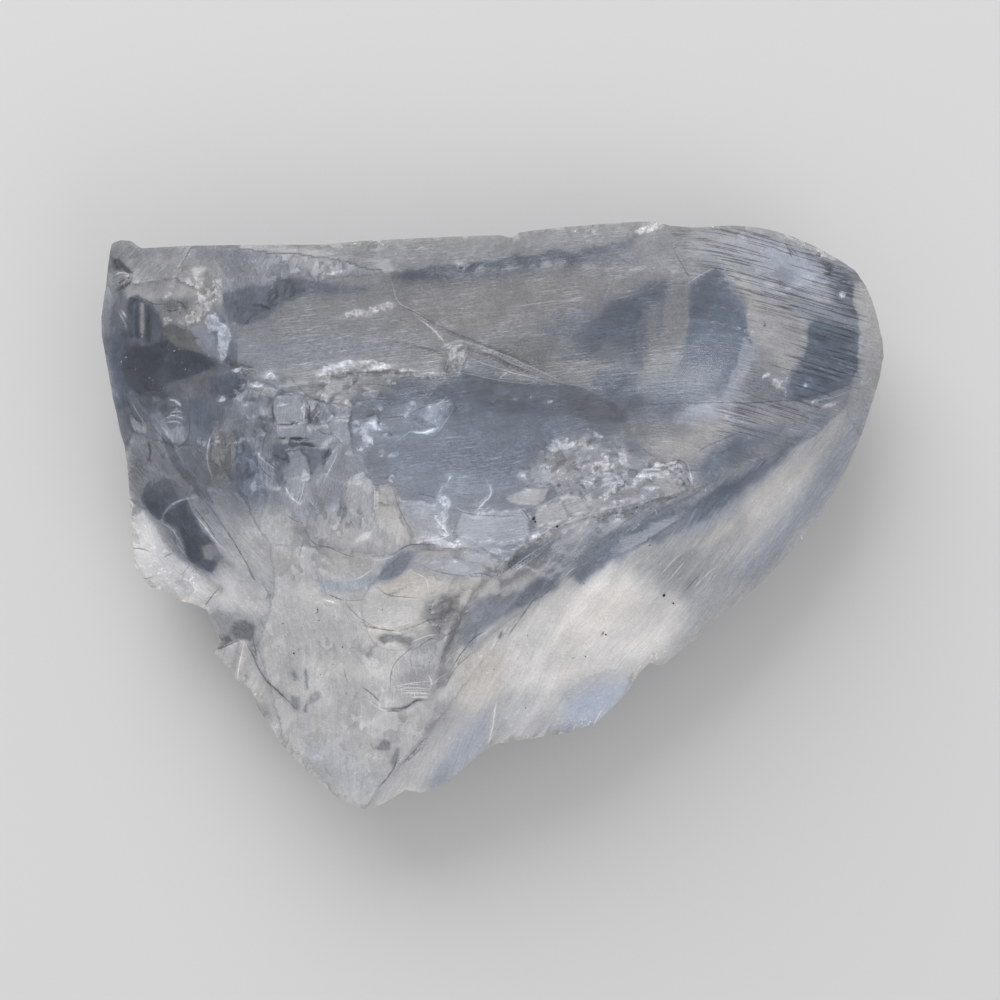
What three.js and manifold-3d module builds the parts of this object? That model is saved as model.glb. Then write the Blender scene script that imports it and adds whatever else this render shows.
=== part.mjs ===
// Petalite: one broken lump of clear petalite, lying on a flat cleavage face.
//
// Frame: millimetres, +Z up, +X along the length of the stone, origin at the middle of its
// footprint, on the surface it lies on.
//
// The lump is made the way it broke. A block with the stone's plan outline is cut by the
// fracture faces that bound it: flat faces where the crystal parted along a plane, and shell
// scars, which are the insides of large ellipsoids, where it broke like glass. Where two cuts
// meet they leave the stone's sharp ridges.

import * as THREE from 'three';
import { mergeVertices } from 'three/addons/utils/BufferGeometryUtils.js';
import Module from 'manifold-3d';

const wasm = await Module();
wasm.setup();

// ---------------------------------------------------------------- driving dimensions

const BLOCK_HEIGHT = 16;      // height of the block before it is cut; the stone ends lower
const LIFT = 3;               // every upper face is stated from this height above the base
const REACH = 160;            // half-width of the blocks that cut flat faces
const SCAR_DETAIL = 22;       // fineness of the ellipsoids that cut shell scars
const BEVEL_DETAIL = 44;      // fineness of the large ellipsoid behind the long bevel
const ROUND_STEP = 1.2;       // length of a step along a round stretch of the outline

// ---------------------------------------------------------------- plan outline

// The stretches run clockwise, seen from above, from the knob at the back left corner. A broken
// stretch goes straight from corner to corner. A round one is a smooth curve through its points.
const STRETCHES = {
  knob: { round: false, points: [[-24.1, 17.3], [-23.5, 17.5], [-22.8, 17.4], [-22.1, 16.9]] },
  backEdge: { round: false, points: [
    [-18, 16.9], [-10.5, 17], [-8.2, 17.3], [-3.5, 17.6], [0.5, 17.8],
  ] },
  backStep: { round: false, points: [[1.1, 17.6]] },
  highBackEdge: { round: true, points: [[1.7, 18], [5, 18.4], [9.8, 18.8], [11.3, 18.5]] },
  nose: { round: true, points: [
    [13, 18.4], [15.5, 18.6], [18.5, 18.1], [21.3, 16.7], [23.3, 15.1], [24.7, 11.8], [24.9, 9.3],
    [23.1, 4], [21, 0], [17.5, -4], [13.7, -7],
  ] },
  nicks: { round: false, points: [[13.2, -7.7], [10.8, -9.6]] },
  shellNotch: { round: true, points: [[10, -9.3], [9, -10.4], [8.5, -11.4], [6.4, -13.5]] },
  frontEdge: { round: false, points: [
    [5.8, -13.6], [5.4, -13.4], [5.1, -13.8], [0.3, -14.4], [-0.7, -15], [-3, -17.1], [-4.6, -17.7],
  ] },
  toe: { round: true, points: [[-5.6, -17.5], [-7.2, -18.5], [-8.3, -18.8], [-10, -18]] },
  lowerLeftEdge: { round: false, points: [
    [-12, -16.1], [-13.5, -14.4], [-15, -12.2], [-15.4, -11], [-16.3, -10.5], [-16.7, -10],
  ] },
  spike: { round: false, points: [[-17.9, -8.6], [-17.3, -7.9]] },
  bay: { round: true, points: [[-17.7, -6.9], [-18.4, -5.9], [-20.4, -5.3]] },
  foot: { round: false, points: [[-20.8, -4.8], [-22.5, -4.4], [-23, -3.5]] },
  leftEdge: { round: true, points: [
    [-23.3, 1], [-23.4, 4.3], [-24, 6.5], [-24.8, 10.8], [-25, 12.2], [-24.5, 15],
  ] },
};

// ---------------------------------------------------------------- fracture faces

// A flat face: the plane through (x, y, z) that rises by dipX and dipY for each millimetre
// along X and Y.
const UPPER_FLATS = {
  topRim: { x: -5.9, y: 15.9, z: 9.75, dipX: -0.10, dipY: -0.95 },
  rightEnd: { x: 15.8, y: 3.5, z: 9.2, dipX: -0.50, dipY: 0.12 },
  rightRim: { x: 23.5, y: 10.0, z: 5.9, dipX: -1.40, dipY: 0.35 },
  lowBevel: { x: 0.4, y: -6.9, z: 9.9, dipX: -0.10, dipY: 0.60 },
  bench: { x: -9.3, y: 2.5, z: 11.0, dipX: 0.02, dipY: -0.08 },
  apron: { x: -9.3, y: -2.6, z: 11.2, dipX: 0.06, dipY: 0.47 },
  westBevel: { x: -15.2, y: -7.4, z: 8.6, dipX: 1.25, dipY: 0.80 },
  leftSide: { x: -23.6, y: 8.0, z: 7.0, dipX: 2.20, dipY: 0.20 },
  knob: { x: -22.6, y: 15.6, z: 8.4, dipX: 0.55, dipY: -0.50 },
};

// A shell scar: the lower half of an ellipsoid with half-axes long, wide and deep, turned by
// some degrees, with its lowest point at (x, y, z) and then tipped by dipX and dipY.
const UPPER_SCARS = {
  trough: { x: 8.0, y: 12.6, z: 8.3, long: 44, wide: 8.6, deep: 8, turn: 3, dipX: -0.02, dipY: 0 },
  middle: { x: 3.2, y: 5.0, z: 8.8, long: 25, wide: 12.5, deep: 11, turn: -12, dipX: -0.03, dipY: 0 },
  cove: { x: -4.4, y: -5.6, z: 9.0, long: 9.5, wide: 6, deep: 9, turn: 25, dipX: 0.06, dipY: 0.36 },
  window: { x: -21.5, y: 9.2, z: 6.6, long: 12, wide: 9, deep: 12, turn: 10, dipX: 0.45, dipY: -0.05 },
  leftLow: { x: -21.9, y: -1.0, z: 3.9, long: 15, wide: 10, deep: 12, turn: -57, dipX: 0.60, dipY: 0.42 },
  shell: { x: 7.6, y: -13.2, z: 3.0, long: 6, wide: 4.4, deep: 5, turn: 30, dipX: -0.25, dipY: 0.40 },
};

// The long bevel of the front right side is one gently bulging face, a patch of an ellipsoid
// whose top point lies far off behind the stone's left end.
const BEVEL = { x: -25, y: 35, z: 22, radius: 60, drop: 26 };

// The underside: faces that climb outwards from the flat base. Each one starts at a line
// `from` millimetres out from the origin in direction `toward` (degrees), and climbs by
// `climb` for each millimetre beyond it.
const UNDER_FLATS = [
  { toward: -35, from: 11.2, climb: 0.85 },   // under the long bevel
  { toward: 14, from: 22.2, climb: 1.30 },    // under the nose
  { toward: 63, from: 20.4, climb: 1.60 },    // back right corner
  { toward: 92, from: 15.7, climb: 2.30 },    // the steep back face
  { toward: 178, from: 19.8, climb: 1.05 },   // left side
  { toward: 221, from: 14.0, climb: 0.95 },   // lower left side
  { toward: -66, from: 7.8, climb: 0.80 },    // front
];

// ---------------------------------------------------------------- solids

function toSolid(geometry) {
  const bare = geometry.clone();
  bare.deleteAttribute('normal');
  bare.deleteAttribute('uv');
  const merged = mergeVertices(bare, 1e-5);
  return new wasm.Manifold(new wasm.Mesh({
    numProp: 3,
    vertProperties: new Float32Array(merged.attributes.position.array),
    triVerts: new Uint32Array(merged.index.array),
  }));
}

// Tips a shape: a point rises by dipX and dipY for each millimetre from the shape's own origin.
function tipped(geometry, dipX, dipY) {
  const tip = new THREE.Matrix4().set(
    1, 0, 0, 0,
    0, 1, 0, 0,
    dipX, dipY, 1, 0,
    0, 0, 0, 1,
  );
  return geometry.applyMatrix4(tip);
}

function outlineShape() {
  const corners = Object.values(STRETCHES).flatMap(({ round, points }) => {
    if (!round) return points;
    const curve = new THREE.SplineCurve(points.map(([x, y]) => new THREE.Vector2(x, y)));
    const steps = Math.ceil(curve.getLength() / ROUND_STEP);
    return curve.getSpacedPoints(steps).map((point) => [point.x, point.y]);
  });
  return new THREE.Shape(corners.map(([x, y]) => new THREE.Vector2(x, y)));
}

function block() {
  return toSolid(new THREE.ExtrudeGeometry(outlineShape(), { depth: BLOCK_HEIGHT, bevelEnabled: false }));
}

// Everything above a tilted plane.
function above({ x, y, z, dipX, dipY }) {
  const slab = new THREE.BoxGeometry(2 * REACH, 2 * REACH, REACH);
  slab.translate(0, 0, REACH / 2);
  return toSolid(tipped(slab, dipX, dipY).translate(x, y, z + LIFT));
}

// Everything below a plane that climbs away from the base.
function belowClimb({ toward, from, climb }) {
  const slab = new THREE.BoxGeometry(2 * REACH, 2 * REACH, REACH);
  slab.translate(0, 0, -REACH / 2);
  tipped(slab, climb, 0);
  slab.translate(from, 0, 0);
  return toSolid(slab.rotateZ(THREE.MathUtils.degToRad(toward)));
}

function scar({ x, y, z, long, wide, deep, turn, dipX, dipY }) {
  const ball = new THREE.IcosahedronGeometry(1, SCAR_DETAIL);
  ball.scale(long, wide, deep);
  ball.translate(0, 0, deep);
  ball.rotateZ(THREE.MathUtils.degToRad(turn));
  return toSolid(tipped(ball, dipX, dipY).translate(x, y, z + LIFT));
}

function bulge({ x, y, z, radius, drop }) {
  const ball = new THREE.IcosahedronGeometry(1, BEVEL_DETAIL);
  ball.scale(radius, radius, drop);
  return toSolid(ball.translate(x, y, z - drop + LIFT));
}

function breakStone() {
  let stone = block();
  for (const face of Object.values(UPPER_FLATS)) {
    stone = stone.subtract(above(face));
  }
  for (const face of Object.values(UPPER_SCARS)) {
    stone = stone.subtract(scar(face));
  }
  stone = stone.intersect(bulge(BEVEL));
  for (const face of UNDER_FLATS) {
    stone = stone.subtract(belowClimb(face));
  }
  return stone;
}

function toGeometry(solid) {
  const { vertProperties, triVerts } = solid.getMesh();
  const geometry = new THREE.BufferGeometry();
  geometry.setAttribute('position', new THREE.BufferAttribute(new Float32Array(vertProperties), 3));
  geometry.setIndex(new THREE.BufferAttribute(new Uint32Array(triVerts), 1));
  return geometry;
}

// ---------------------------------------------------------------- the stone

const clearPetalite = new THREE.MeshStandardMaterial({
  color: 0xc9d0d8,
  roughness: 0.12,
  metalness: 0,
  flatShading: true,
});

const stone = new THREE.Mesh(toGeometry(breakStone()), clearPetalite);
stone.name = 'petalite_stone';

const petalite = new THREE.Group();
petalite.name = 'petalite';
petalite.add(stone);

export default petalite;
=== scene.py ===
# %% [markdown]
# # A lump of petalite
#
# Petalite is a clear to milky mineral that breaks like glass: in shallow shells with sharp ridges
# between them, and along one perfect cleavage, which gives this lump the flat face it lies on. The
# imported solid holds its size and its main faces. This file makes its fine surface, what is sealed
# in it, and its finish.

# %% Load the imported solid
import math
import random

import bmesh
import bpy
import numpy as np
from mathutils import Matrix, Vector, geometry, kdtree
from mathutils.bvhtree import BVHTree


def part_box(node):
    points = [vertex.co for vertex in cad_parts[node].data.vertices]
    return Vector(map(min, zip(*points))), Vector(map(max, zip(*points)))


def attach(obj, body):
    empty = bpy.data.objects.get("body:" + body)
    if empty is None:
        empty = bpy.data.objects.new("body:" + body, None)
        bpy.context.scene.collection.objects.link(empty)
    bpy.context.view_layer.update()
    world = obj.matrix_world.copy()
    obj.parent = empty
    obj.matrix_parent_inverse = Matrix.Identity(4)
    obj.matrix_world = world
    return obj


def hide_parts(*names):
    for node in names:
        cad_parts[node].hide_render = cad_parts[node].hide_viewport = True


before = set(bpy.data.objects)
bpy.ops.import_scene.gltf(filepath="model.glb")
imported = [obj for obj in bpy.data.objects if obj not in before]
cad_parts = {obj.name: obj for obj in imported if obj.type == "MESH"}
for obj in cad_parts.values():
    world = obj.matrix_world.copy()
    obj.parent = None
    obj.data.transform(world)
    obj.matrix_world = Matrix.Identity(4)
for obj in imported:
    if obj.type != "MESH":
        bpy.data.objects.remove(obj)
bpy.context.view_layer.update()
MM = 0.001
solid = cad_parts["petalite_stone"]
low, high = (np.array(corner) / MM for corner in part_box("petalite_stone"))
print("the packed stone is", (high - low).round(1), "mm")

# %% [markdown]
# ## The fracture faces
#
# The lump was bounded by a few large breaks. Each is a rule that gives a height over the plan: a
# flat face is a tilted plane, and a shell scar is the inside of an ellipsoid. The stone's top is the
# lowest of them at every point, and the ridges are where two of them meet. These are the packed
# solid's own faces, so the fine skin that follows them lies on it.

# %% Heights of the fracture faces
LIFT = 3.0
FAR = 99.0


def flat(x, y, at, dip):
    return at[2] + dip[0] * (x - at[0]) + dip[1] * (y - at[1])


def turned(x, y, centre, degrees):
    angle = math.radians(degrees)
    dx, dy = x - centre[0], y - centre[1]
    return dx * math.cos(angle) + dy * math.sin(angle), dy * math.cos(angle) - dx * math.sin(angle)


def shell(x, y, at, axes, turn=0.0, dip=(0.0, 0.0)):
    along, across = turned(x, y, at, turn)
    inside = 1 - (along / axes[0]) ** 2 - (across / axes[1]) ** 2
    bowl = flat(x, y, at, dip) + axes[2] * (1 - np.sqrt(np.clip(inside, 0, None)))
    return np.where(inside > 0, bowl, FAR)


def bulge(x, y, at, axes):
    inside = 1 - ((x - at[0]) / axes[0]) ** 2 - ((y - at[1]) / axes[1]) ** 2
    return at[2] - axes[2] * (1 - np.sqrt(np.clip(inside, 0, None)))


TOP_FACES = {
    "top_rim": lambda x, y: flat(x, y, (-5.9, 15.9, 9.75), (-0.1, -0.95)),
    "right_end": lambda x, y: flat(x, y, (15.8, 3.5, 9.2), (-0.5, 0.12)),
    "right_rim": lambda x, y: flat(x, y, (23.5, 10.0, 5.9), (-1.4, 0.35)),
    "low_bevel": lambda x, y: flat(x, y, (0.4, -6.9, 9.9), (-0.1, 0.6)),
    "bench": lambda x, y: flat(x, y, (-9.3, 2.5, 11.0), (0.02, -0.08)),
    "apron": lambda x, y: flat(x, y, (-9.3, -2.6, 11.2), (0.06, 0.47)),
    "west_bevel": lambda x, y: flat(x, y, (-15.2, -7.4, 8.6), (1.25, 0.8)),
    "left_side": lambda x, y: flat(x, y, (-23.6, 8.0, 7.0), (2.2, 0.2)),
    "knob": lambda x, y: flat(x, y, (-22.6, 15.6, 8.4), (0.55, -0.5)),
    "trough": lambda x, y: shell(x, y, (8.0, 12.6, 8.3), (44, 8.6, 8), 3, (-0.02, 0)),
    "middle": lambda x, y: shell(x, y, (3.2, 5.0, 8.8), (25, 12.5, 11), -12, (-0.03, 0)),
    "cove": lambda x, y: shell(x, y, (-4.4, -5.6, 9.0), (9.5, 6, 9), 25, (0.06, 0.36)),
    "window": lambda x, y: shell(x, y, (-21.5, 9.2, 6.6), (12, 9, 12), 10, (0.45, -0.05)),
    "left_low": lambda x, y: shell(x, y, (-21.9, -1.0, 3.9), (15, 10, 12), -57, (0.6, 0.42)),
    "shell_notch": lambda x, y: shell(x, y, (7.6, -13.2, 3.0), (6, 4.4, 5), 30, (-0.25, 0.4)),
    "bevel": lambda x, y: bulge(x, y, (-25, 35, 22), (60, 60, 26)),
}
# toward (degrees), from (mm), climb: the faces of the underside climb outwards from the base
UNDER_FACES = [
    (-35, 11.2, 0.85), (14, 22.2, 1.3), (63, 20.4, 1.6), (92, 15.7, 2.3), (178, 19.8, 1.05),
    (221, 14.0, 0.95), (-66, 7.8, 0.8),
]


def top_faces(x, y):
    heights = np.stack([rule(x, y) for rule in TOP_FACES.values()]) + LIFT
    return heights.min(0), heights.argmin(0)


def underside(x, y):
    height = np.zeros_like(x)
    for toward, start, climb in UNDER_FACES:
        angle = math.radians(toward)
        out = x * math.cos(angle) + y * math.sin(angle) - start
        height = np.maximum(height, climb * out)
    return height


print(len(TOP_FACES), "faces above and", len(UNDER_FACES), "below the rim")

# %% [markdown]
# ## A net over the stone
#
# The skin is a fine net of triangles, draped over the solid from above, with a coarser one below and
# a band of rows between them around the rim. A ray from above tells whether a knot of the net has
# stone under it, and the knots along the edge are pulled out to the true outline by halving steps.

# %% The net's knots, in plan
STEP = 0.142
solid_tree = BVHTree.FromObject(solid, bpy.context.evaluated_depsgraph_get())


def over_stone(x, y):
    return solid_tree.ray_cast(Vector((x * MM, y * MM, 0.1)), Vector((0, 0, -1)))[0] is not None


rows = int((high[1] - low[1]) / (STEP * math.sqrt(0.75))) + 3
columns = int((high[0] - low[0]) / STEP) + 3
row, column = np.mgrid[0:rows, 0:columns]
knot_x = low[0] - STEP + STEP * (column + 0.5 * (row % 2))
knot_y = low[1] - STEP + STEP * math.sqrt(0.75) * row
held = np.array([over_stone(px, py) for px, py in zip(knot_x.ravel(), knot_y.ravel())])
held = held.reshape(rows, columns)
number = np.arange(rows * columns).reshape(rows, columns)
even = (row % 2 == 0)[:-1, :-1]
a, b, c, d = number[:-1, :-1], number[:-1, 1:], number[1:, :-1], number[1:, 1:]
first = np.where(even[..., None], np.stack([a, b, c], -1), np.stack([a, b, d], -1))
second = np.where(even[..., None], np.stack([b, d, c], -1), np.stack([a, d, c], -1))
net = np.concatenate([first.reshape(-1, 3), second.reshape(-1, 3)])
net = net[held.ravel()[net].all(1)]
print("net:", len(net), "triangles,", rows, "rows of", columns)

# %% [markdown]
# The knots on the edge of the net are a step or less inside the outline. Each is pulled outwards,
# away from its neighbours, to the last place that still has stone under it. A knot where the edge
# touches itself would leave a pinched, open skin, so its triangles are taken away first.

# %% The edge of the net
def edges_of(triangles):
    return np.concatenate([triangles[:, [0, 1]], triangles[:, [1, 2]], triangles[:, [2, 0]]])


def open_edges(triangles):
    edges = edges_of(triangles)
    keys = edges[:, 0] * 10_000_000 + edges[:, 1]
    return edges[~np.isin(keys, edges[:, 1] * 10_000_000 + edges[:, 0])]


for _ in range(6):
    starts, counts = np.unique(open_edges(net)[:, 0], return_counts=True)
    pinched = starts[counts > 1]
    if not len(pinched):
        break
    net = net[~np.isin(net, pinched).any(1)]


def longest_loop(edges):
    following = dict(edges.tolist())
    loops = []
    while following:
        start, here = following.popitem()
        loop = [start]
        while here != start:
            loop.append(here)
            here = following.pop(here)
        loops.append(loop)
    return max(loops, key=len), len(loops)


ring, loop_count = longest_loop(open_edges(net))
used, packed = np.unique(net, return_inverse=True)
net = packed.reshape(-1, 3)
ring = np.searchsorted(used, ring)
top_x, top_y = knot_x.ravel()[used], knot_y.ravel()[used]
links = edges_of(net)
beside = np.bincount(links[:, 0], minlength=len(used))
mean_x = np.bincount(links[:, 0], top_x[links[:, 1]], len(used)) / beside
mean_y = np.bincount(links[:, 0], top_y[links[:, 1]], len(used)) / beside
for knot in ring:
    out = np.array([top_x[knot] - mean_x[knot], top_y[knot] - mean_y[knot]])
    out /= np.linalg.norm(out) + 1e-9
    inner, outer = 0.0, 1.5 * STEP
    for _ in range(7):
        middle = (inner + outer) / 2
        if over_stone(top_x[knot] + out[0] * middle, top_y[knot] + out[1] * middle):
            inner = middle
        else:
            outer = middle
    top_x[knot] += out[0] * inner
    top_y[knot] += out[1] * inner
print("rim:", len(ring), "knots, loops:", loop_count, "skin above:", len(net), "triangles")

# %% [markdown]
# ## Grain for the break
#
# Nothing in a broken face is quite regular, so most of the detail below starts from three kinds of
# noise: smooth noise for waves, layers of it for roughness, and cells, where every cell is one small
# flat break with its own tilt, as crushed crystal has.

# %% Noise rules
def scatter(ix, iy, seed):
    mixed = (ix.astype(np.int64) * 374761393 + iy.astype(np.int64) * 668265263 + seed * 974711) & 0xFFFFFFFF
    mixed = ((mixed ^ (mixed >> 13)) * 1274126177) & 0xFFFFFFFF
    mixed = ((mixed ^ (mixed >> 15)) * 2246822519) & 0xFFFFFFFF
    return ((mixed ^ (mixed >> 16)) & 0xFFFFFF) / float(0xFFFFFF)


def waves(x, y, size, seed):
    gx, gy = x / size, y / size
    ix, iy = np.floor(gx), np.floor(gy)
    fx, fy = gx - ix, gy - iy
    fx, fy = (f * f * f * (f * (f * 6 - 15) + 10) for f in (fx, fy))
    lower = scatter(ix, iy, seed) * (1 - fx) + scatter(ix + 1, iy, seed) * fx
    upper = scatter(ix, iy + 1, seed) * (1 - fx) + scatter(ix + 1, iy + 1, seed) * fx
    return 2 * (lower * (1 - fy) + upper * fy) - 1


def rough(x, y, size, seed, layers=4):
    total = np.zeros_like(x)
    for layer in range(layers):
        total += waves(x, y, size / 2**layer, seed + 17 * layer) / 2**layer
    return total / 1.6


def cells(x, y, size, seed):
    ix, iy = np.floor(x / size), np.floor(y / size)
    best = np.full(x.shape, 1e9)
    second = np.full(x.shape, 1e9)
    picked = [np.zeros(x.shape) for _ in range(4)]
    for ox in (-1, 0, 1):
        for oy in (-1, 0, 1):
            cx, cy = ix + ox, iy + oy
            dx = x - size * (cx + scatter(cx, cy, seed))
            dy = y - size * (cy + scatter(cx, cy, seed + 1))
            away = np.hypot(dx, dy)
            nearer = away < best
            second = np.where(nearer, best, np.minimum(second, away))
            best = np.where(nearer, away, best)
            found = (dx, dy, scatter(cx, cy, seed + 2), scatter(cx, cy, seed + 3))
            picked = [np.where(nearer, new, old) for new, old in zip(found, picked)]
    return (*picked, second - best)


def facets(x, y, size, seed, tilt=0.5):
    dx, dy, one, two, _ = cells(x, y, size, seed)
    angle = one * 2 * math.pi
    return tilt * (dx * np.cos(angle) + dy * np.sin(angle)) + size * 0.35 * (two - 0.5)


def fade(value, start, end):
    t = np.clip((value - start) / (end - start), 0, 1)
    return t * t * (3 - 2 * t)


def spot(x, y, centre, half, turn=0.0, soft=0.35):
    along, across = turned(x, y, centre, turn)
    return 1 - fade(np.hypot(along / half[0], across / half[1]), 1 - soft, 1 + soft)


def inside_by(x, y, corners):
    """Distance in from a closed outline, negative outside it."""
    nearest = np.full(x.shape, 1e9)
    inside = np.zeros(x.shape, bool)
    for (x0, y0), (x1, y1) in zip(corners, corners[1:] + corners[:1]):
        ex, ey = x1 - x0, y1 - y0
        t = np.clip(((x - x0) * ex + (y - y0) * ey) / (ex * ex + ey * ey), 0, 1)
        nearest = np.minimum(nearest, np.hypot(x - x0 - t * ex, y - y0 - t * ey))
        crosses = (y0 > y) != (y1 > y)
        inside ^= crosses & (x < x0 + (y - y0) * ex / (ey if ey else 1e-9))
    return np.where(inside, nearest, -nearest)


print("noise:", rough(top_x, top_y, 3.0, 1).min().round(2), "to", rough(top_x, top_y, 3.0, 1).max().round(2))
# %% [markdown]
# ## The large faces, with softened creases
#
# The heights are read a little off their true place, so that no ridge is ruled with a straightedge.
# Where two breaks meet at a shallow angle the crease is rounded, and only the main ridge stays sharp.
# A polynomial blend of the two lowest faces does that: it only acts where they are nearly level.

# %% Large faces
EYE = (0.45, 1.08, 185.2)
DRAWN_AT = 8.0
CREASE, RIDGE_CREASE = 0.9, 0.06
face_names = list(TOP_FACES)


def as_seen(height):
    nearer = (EYE[2] - DRAWN_AT) / (EYE[2] - height)
    return EYE[0] + (top_x - EYE[0]) * nearer, EYE[1] + (top_y - EYE[1]) * nearer


top_z = top_faces(top_x, top_y)[0]
for _ in range(2):
    x, y = as_seen(top_z)
    drift_x = 0.45 * rough(x, y, 5.5, 11) + 0.1 * rough(x, y, 1.2, 13)
    drift_y = 0.45 * rough(x, y, 5.5, 12) + 0.1 * rough(x, y, 1.2, 14)
    heights = np.stack([rule(x + drift_x, y + drift_y) for rule in TOP_FACES.values()]) + LIFT
    face = heights.argmin(0)
    lowest, next_lowest = np.sort(heights, 0)[:2]
    hard = spot(x, y, (-23, 15.5), (4, 3), soft=0.4)
    for name in ("bevel", "low_bevel", "right_rim", "west_bevel"):
        other = np.sort(np.delete(heights, face_names.index(name), 0), 0)[0]
        hard = np.maximum(hard, fade(0.8 - np.abs(other - heights[face_names.index(name)]), 0, 0.5))
    crease = CREASE + (RIDGE_CREASE - CREASE) * np.clip(hard, 0, 1)
    share = np.clip(0.5 + 0.5 * (next_lowest - lowest) / crease, 0, 1)
    top_z = next_lowest + (lowest - next_lowest) * share - crease * share * (1 - share)
x, y = as_seen(top_z)
cloudy = rough(x, y, 2.2, 81)
cloudy_fine = rough(x, y, 0.8, 82)


def on(*names):
    return np.isin(face, [face_names.index(name) for name in names]).astype(float)


print("top:", top_z.min().round(2), "to", top_z.max().round(2), "mm, drawn up to",
      np.hypot(x - top_x, y - top_y).max().round(2), "mm further out")

# %% [markdown]
# ## Drawn lines
#
# Ridges and cracks follow lines of their own. A smooth curve is drawn through a few points, and
# every knot of the net learns how far it lies from that curve, on which hand, and how far along it.

# %% Lines over the stone
BETWEEN = 5


def smoothed(points):
    knots = np.array([points[0], *points, points[-1]], float)
    t = np.linspace(0, 1, BETWEEN, endpoint=False)[:, None]
    parts = []
    for p, q, r, s in zip(knots, knots[1:], knots[2:], knots[3:]):
        cubic = (3 * q - p - 3 * r + s) * t**3 + (2 * p - 5 * q + 4 * r - s) * t**2
        parts.append(0.5 * (2 * q + (r - p) * t + cubic))
    return np.concatenate([*parts, knots[-1:]])


def from_line(points, reach=2.5, wobble=0.15, seed=3):
    path = smoothed(points) if len(points) > 2 else np.array(points, float)
    lowest, highest = path.min(0) - reach, path.max(0) + reach
    near = (x > lowest[0]) & (x < highest[0]) & (y > lowest[1]) & (y < highest[1])
    px = x[near] + wobble * rough(x[near], y[near], 1.3, seed)
    py = y[near] + wobble * rough(x[near], y[near], 1.3, seed + 9)
    best, hand, run = np.full(px.shape, 99.0), np.ones(px.shape), np.zeros(px.shape)
    travelled = 0.0
    for (x0, y0), (x1, y1) in zip(path, path[1:]):
        ex, ey = x1 - x0, y1 - y0
        length = math.hypot(ex, ey) + 1e-9
        t = np.clip(((px - x0) * ex + (py - y0) * ey) / length**2, 0, 1)
        dx, dy = px - x0 - t * ex, py - y0 - t * ey
        away = np.hypot(dx, dy)
        nearer = away < best
        best = np.where(nearer, away, best)
        hand = np.where(nearer, np.sign(dx * ey - dy * ex), hand)
        run = np.where(nearer, travelled + t * length, run)
        travelled += length
    aside, share = np.full(x.shape, 99.0), np.zeros(x.shape)
    aside[near] = best * hand
    share[near] = run / travelled
    return aside, share


def ends_of(share, first=0.12, last=0.15):
    return fade(share, 0, first) * fade(1 - share, 0, last)


def stroke(points, half, wobble=0.12, taper=0.25, seed=3):
    aside, share = from_line(points, half + 0.6, wobble, seed)
    ends = ends_of(share, taper, taper)
    return fade(half * (0.3 + 0.7 * ends) - np.abs(aside), -0.35 * half, 0.5 * half) * (ends > 0)


def beyond(aside, width):
    t = np.clip(aside, 0, 12 * width) / width
    return t * np.exp(1 - t) * (np.abs(aside) < 90)


MAIN_RIDGE = [
    (-6.9, -17.1), (-5.4, -14.9), (-4.0, -12.6), (-3.4, -11.0), (-1.8, -8.8), (0.4, -6.9), (3.3, -4.7),
    (5.1, -3.3), (6.7, -1.6), (9.4, -0.2), (12.1, 1.1), (13.3, 1.7), (15.8, 3.5), (17.7, 4.2), (19.2, 5.0),
    (22.0, 5.5), (23.9, 8.5),
]
ridge_aside, ridge_share = from_line(MAIN_RIDGE, 9.0)
print("main ridge:", round(float(np.hypot(*np.diff(smoothed(MAIN_RIDGE), axis=0).T).sum()), 1), "mm long")

# %% [markdown]
# ## The way the streaks run
#
# A fast crack leaves fine parallel steps, hackles, that run the way it travelled, and the way differs
# from face to face. Each knot gets two numbers, across the streaks and along them. The net carries the
# coarser steps, and the finish reads the same two numbers for those too fine for the net.

# %% Across and along the streaks
across = y - (0.14 * x - 0.57 * np.logaddexp(0, (x - 13.0) / 1.3))
across = across - 0.16 * (x - 3) * spot(x, y, (5, 2.5), (5, 4), soft=0.9)
along = x + 0.3 * y
STREAK_TURNS = {
    "bevel": 50, "low_bevel": 62, "apron": 96, "cove": 10, "left_low": -52, "window": 84,
    "left_side": 80, "west_bevel": 70, "shell_notch": 30, "bench": 80, "knob": 40,
}
bend = 0.9 * rough(x, y, 9.0, 51)
for name, degrees in STREAK_TURNS.items():
    here = on(name) > 0
    a, c = turned(x, y, (0, 0), degrees)
    along = np.where(here, a * (0.35 if "bevel" in name else 1), along)
    across = np.where(here, c + bend, across)
BAND = [
    (-4.2, -12), (-3.1, -8.5), (-1.2, -4.8), (1.8, -2), (5.2, -0.2), (9.5, 0.9), (13.5, 1.9), (9.4, -0.3),
    (5.4, -3.2), (0.6, -6.9), (-2.2, -9.4),
]
in_band = fade(inside_by(x, y, BAND), -0.2, 0.2)
a, c = turned(x, y, (0, 0), 38)
across += in_band * (c + 0.5 * bend - across)
along += in_band * (a - along)
silk = rough(across / 0.5, along / 4.0, 1.0, 52)
print("streaks: strength", silk.std().round(2))

# %% [markdown]
# ## Marks for the finish
#
# Along with its height every knot carries a few marks: how light the stone looks there, how warm, how
# milky, how crushed and how chipped. They are laid on in layers, as a painter would. The outline of a
# stretch wavers, and it frays along the streaks, so that no mark looks cut out.

# %% Laying marks on stretches
marks = {name: np.zeros_like(x) for name in ("tone", "warm", "milk", "frost", "comb", "crisp", "chips")}
thin_lines = {}
for name in ("crack", "glint"):
    thin_lines[name] = [np.full(x.shape, 9.0), np.full(x.shape, 9.0), np.zeros(x.shape)]


def lay(mask, **finish):
    for name, value in finish.items():
        marks[name] += (value - marks[name]) * mask


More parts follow.
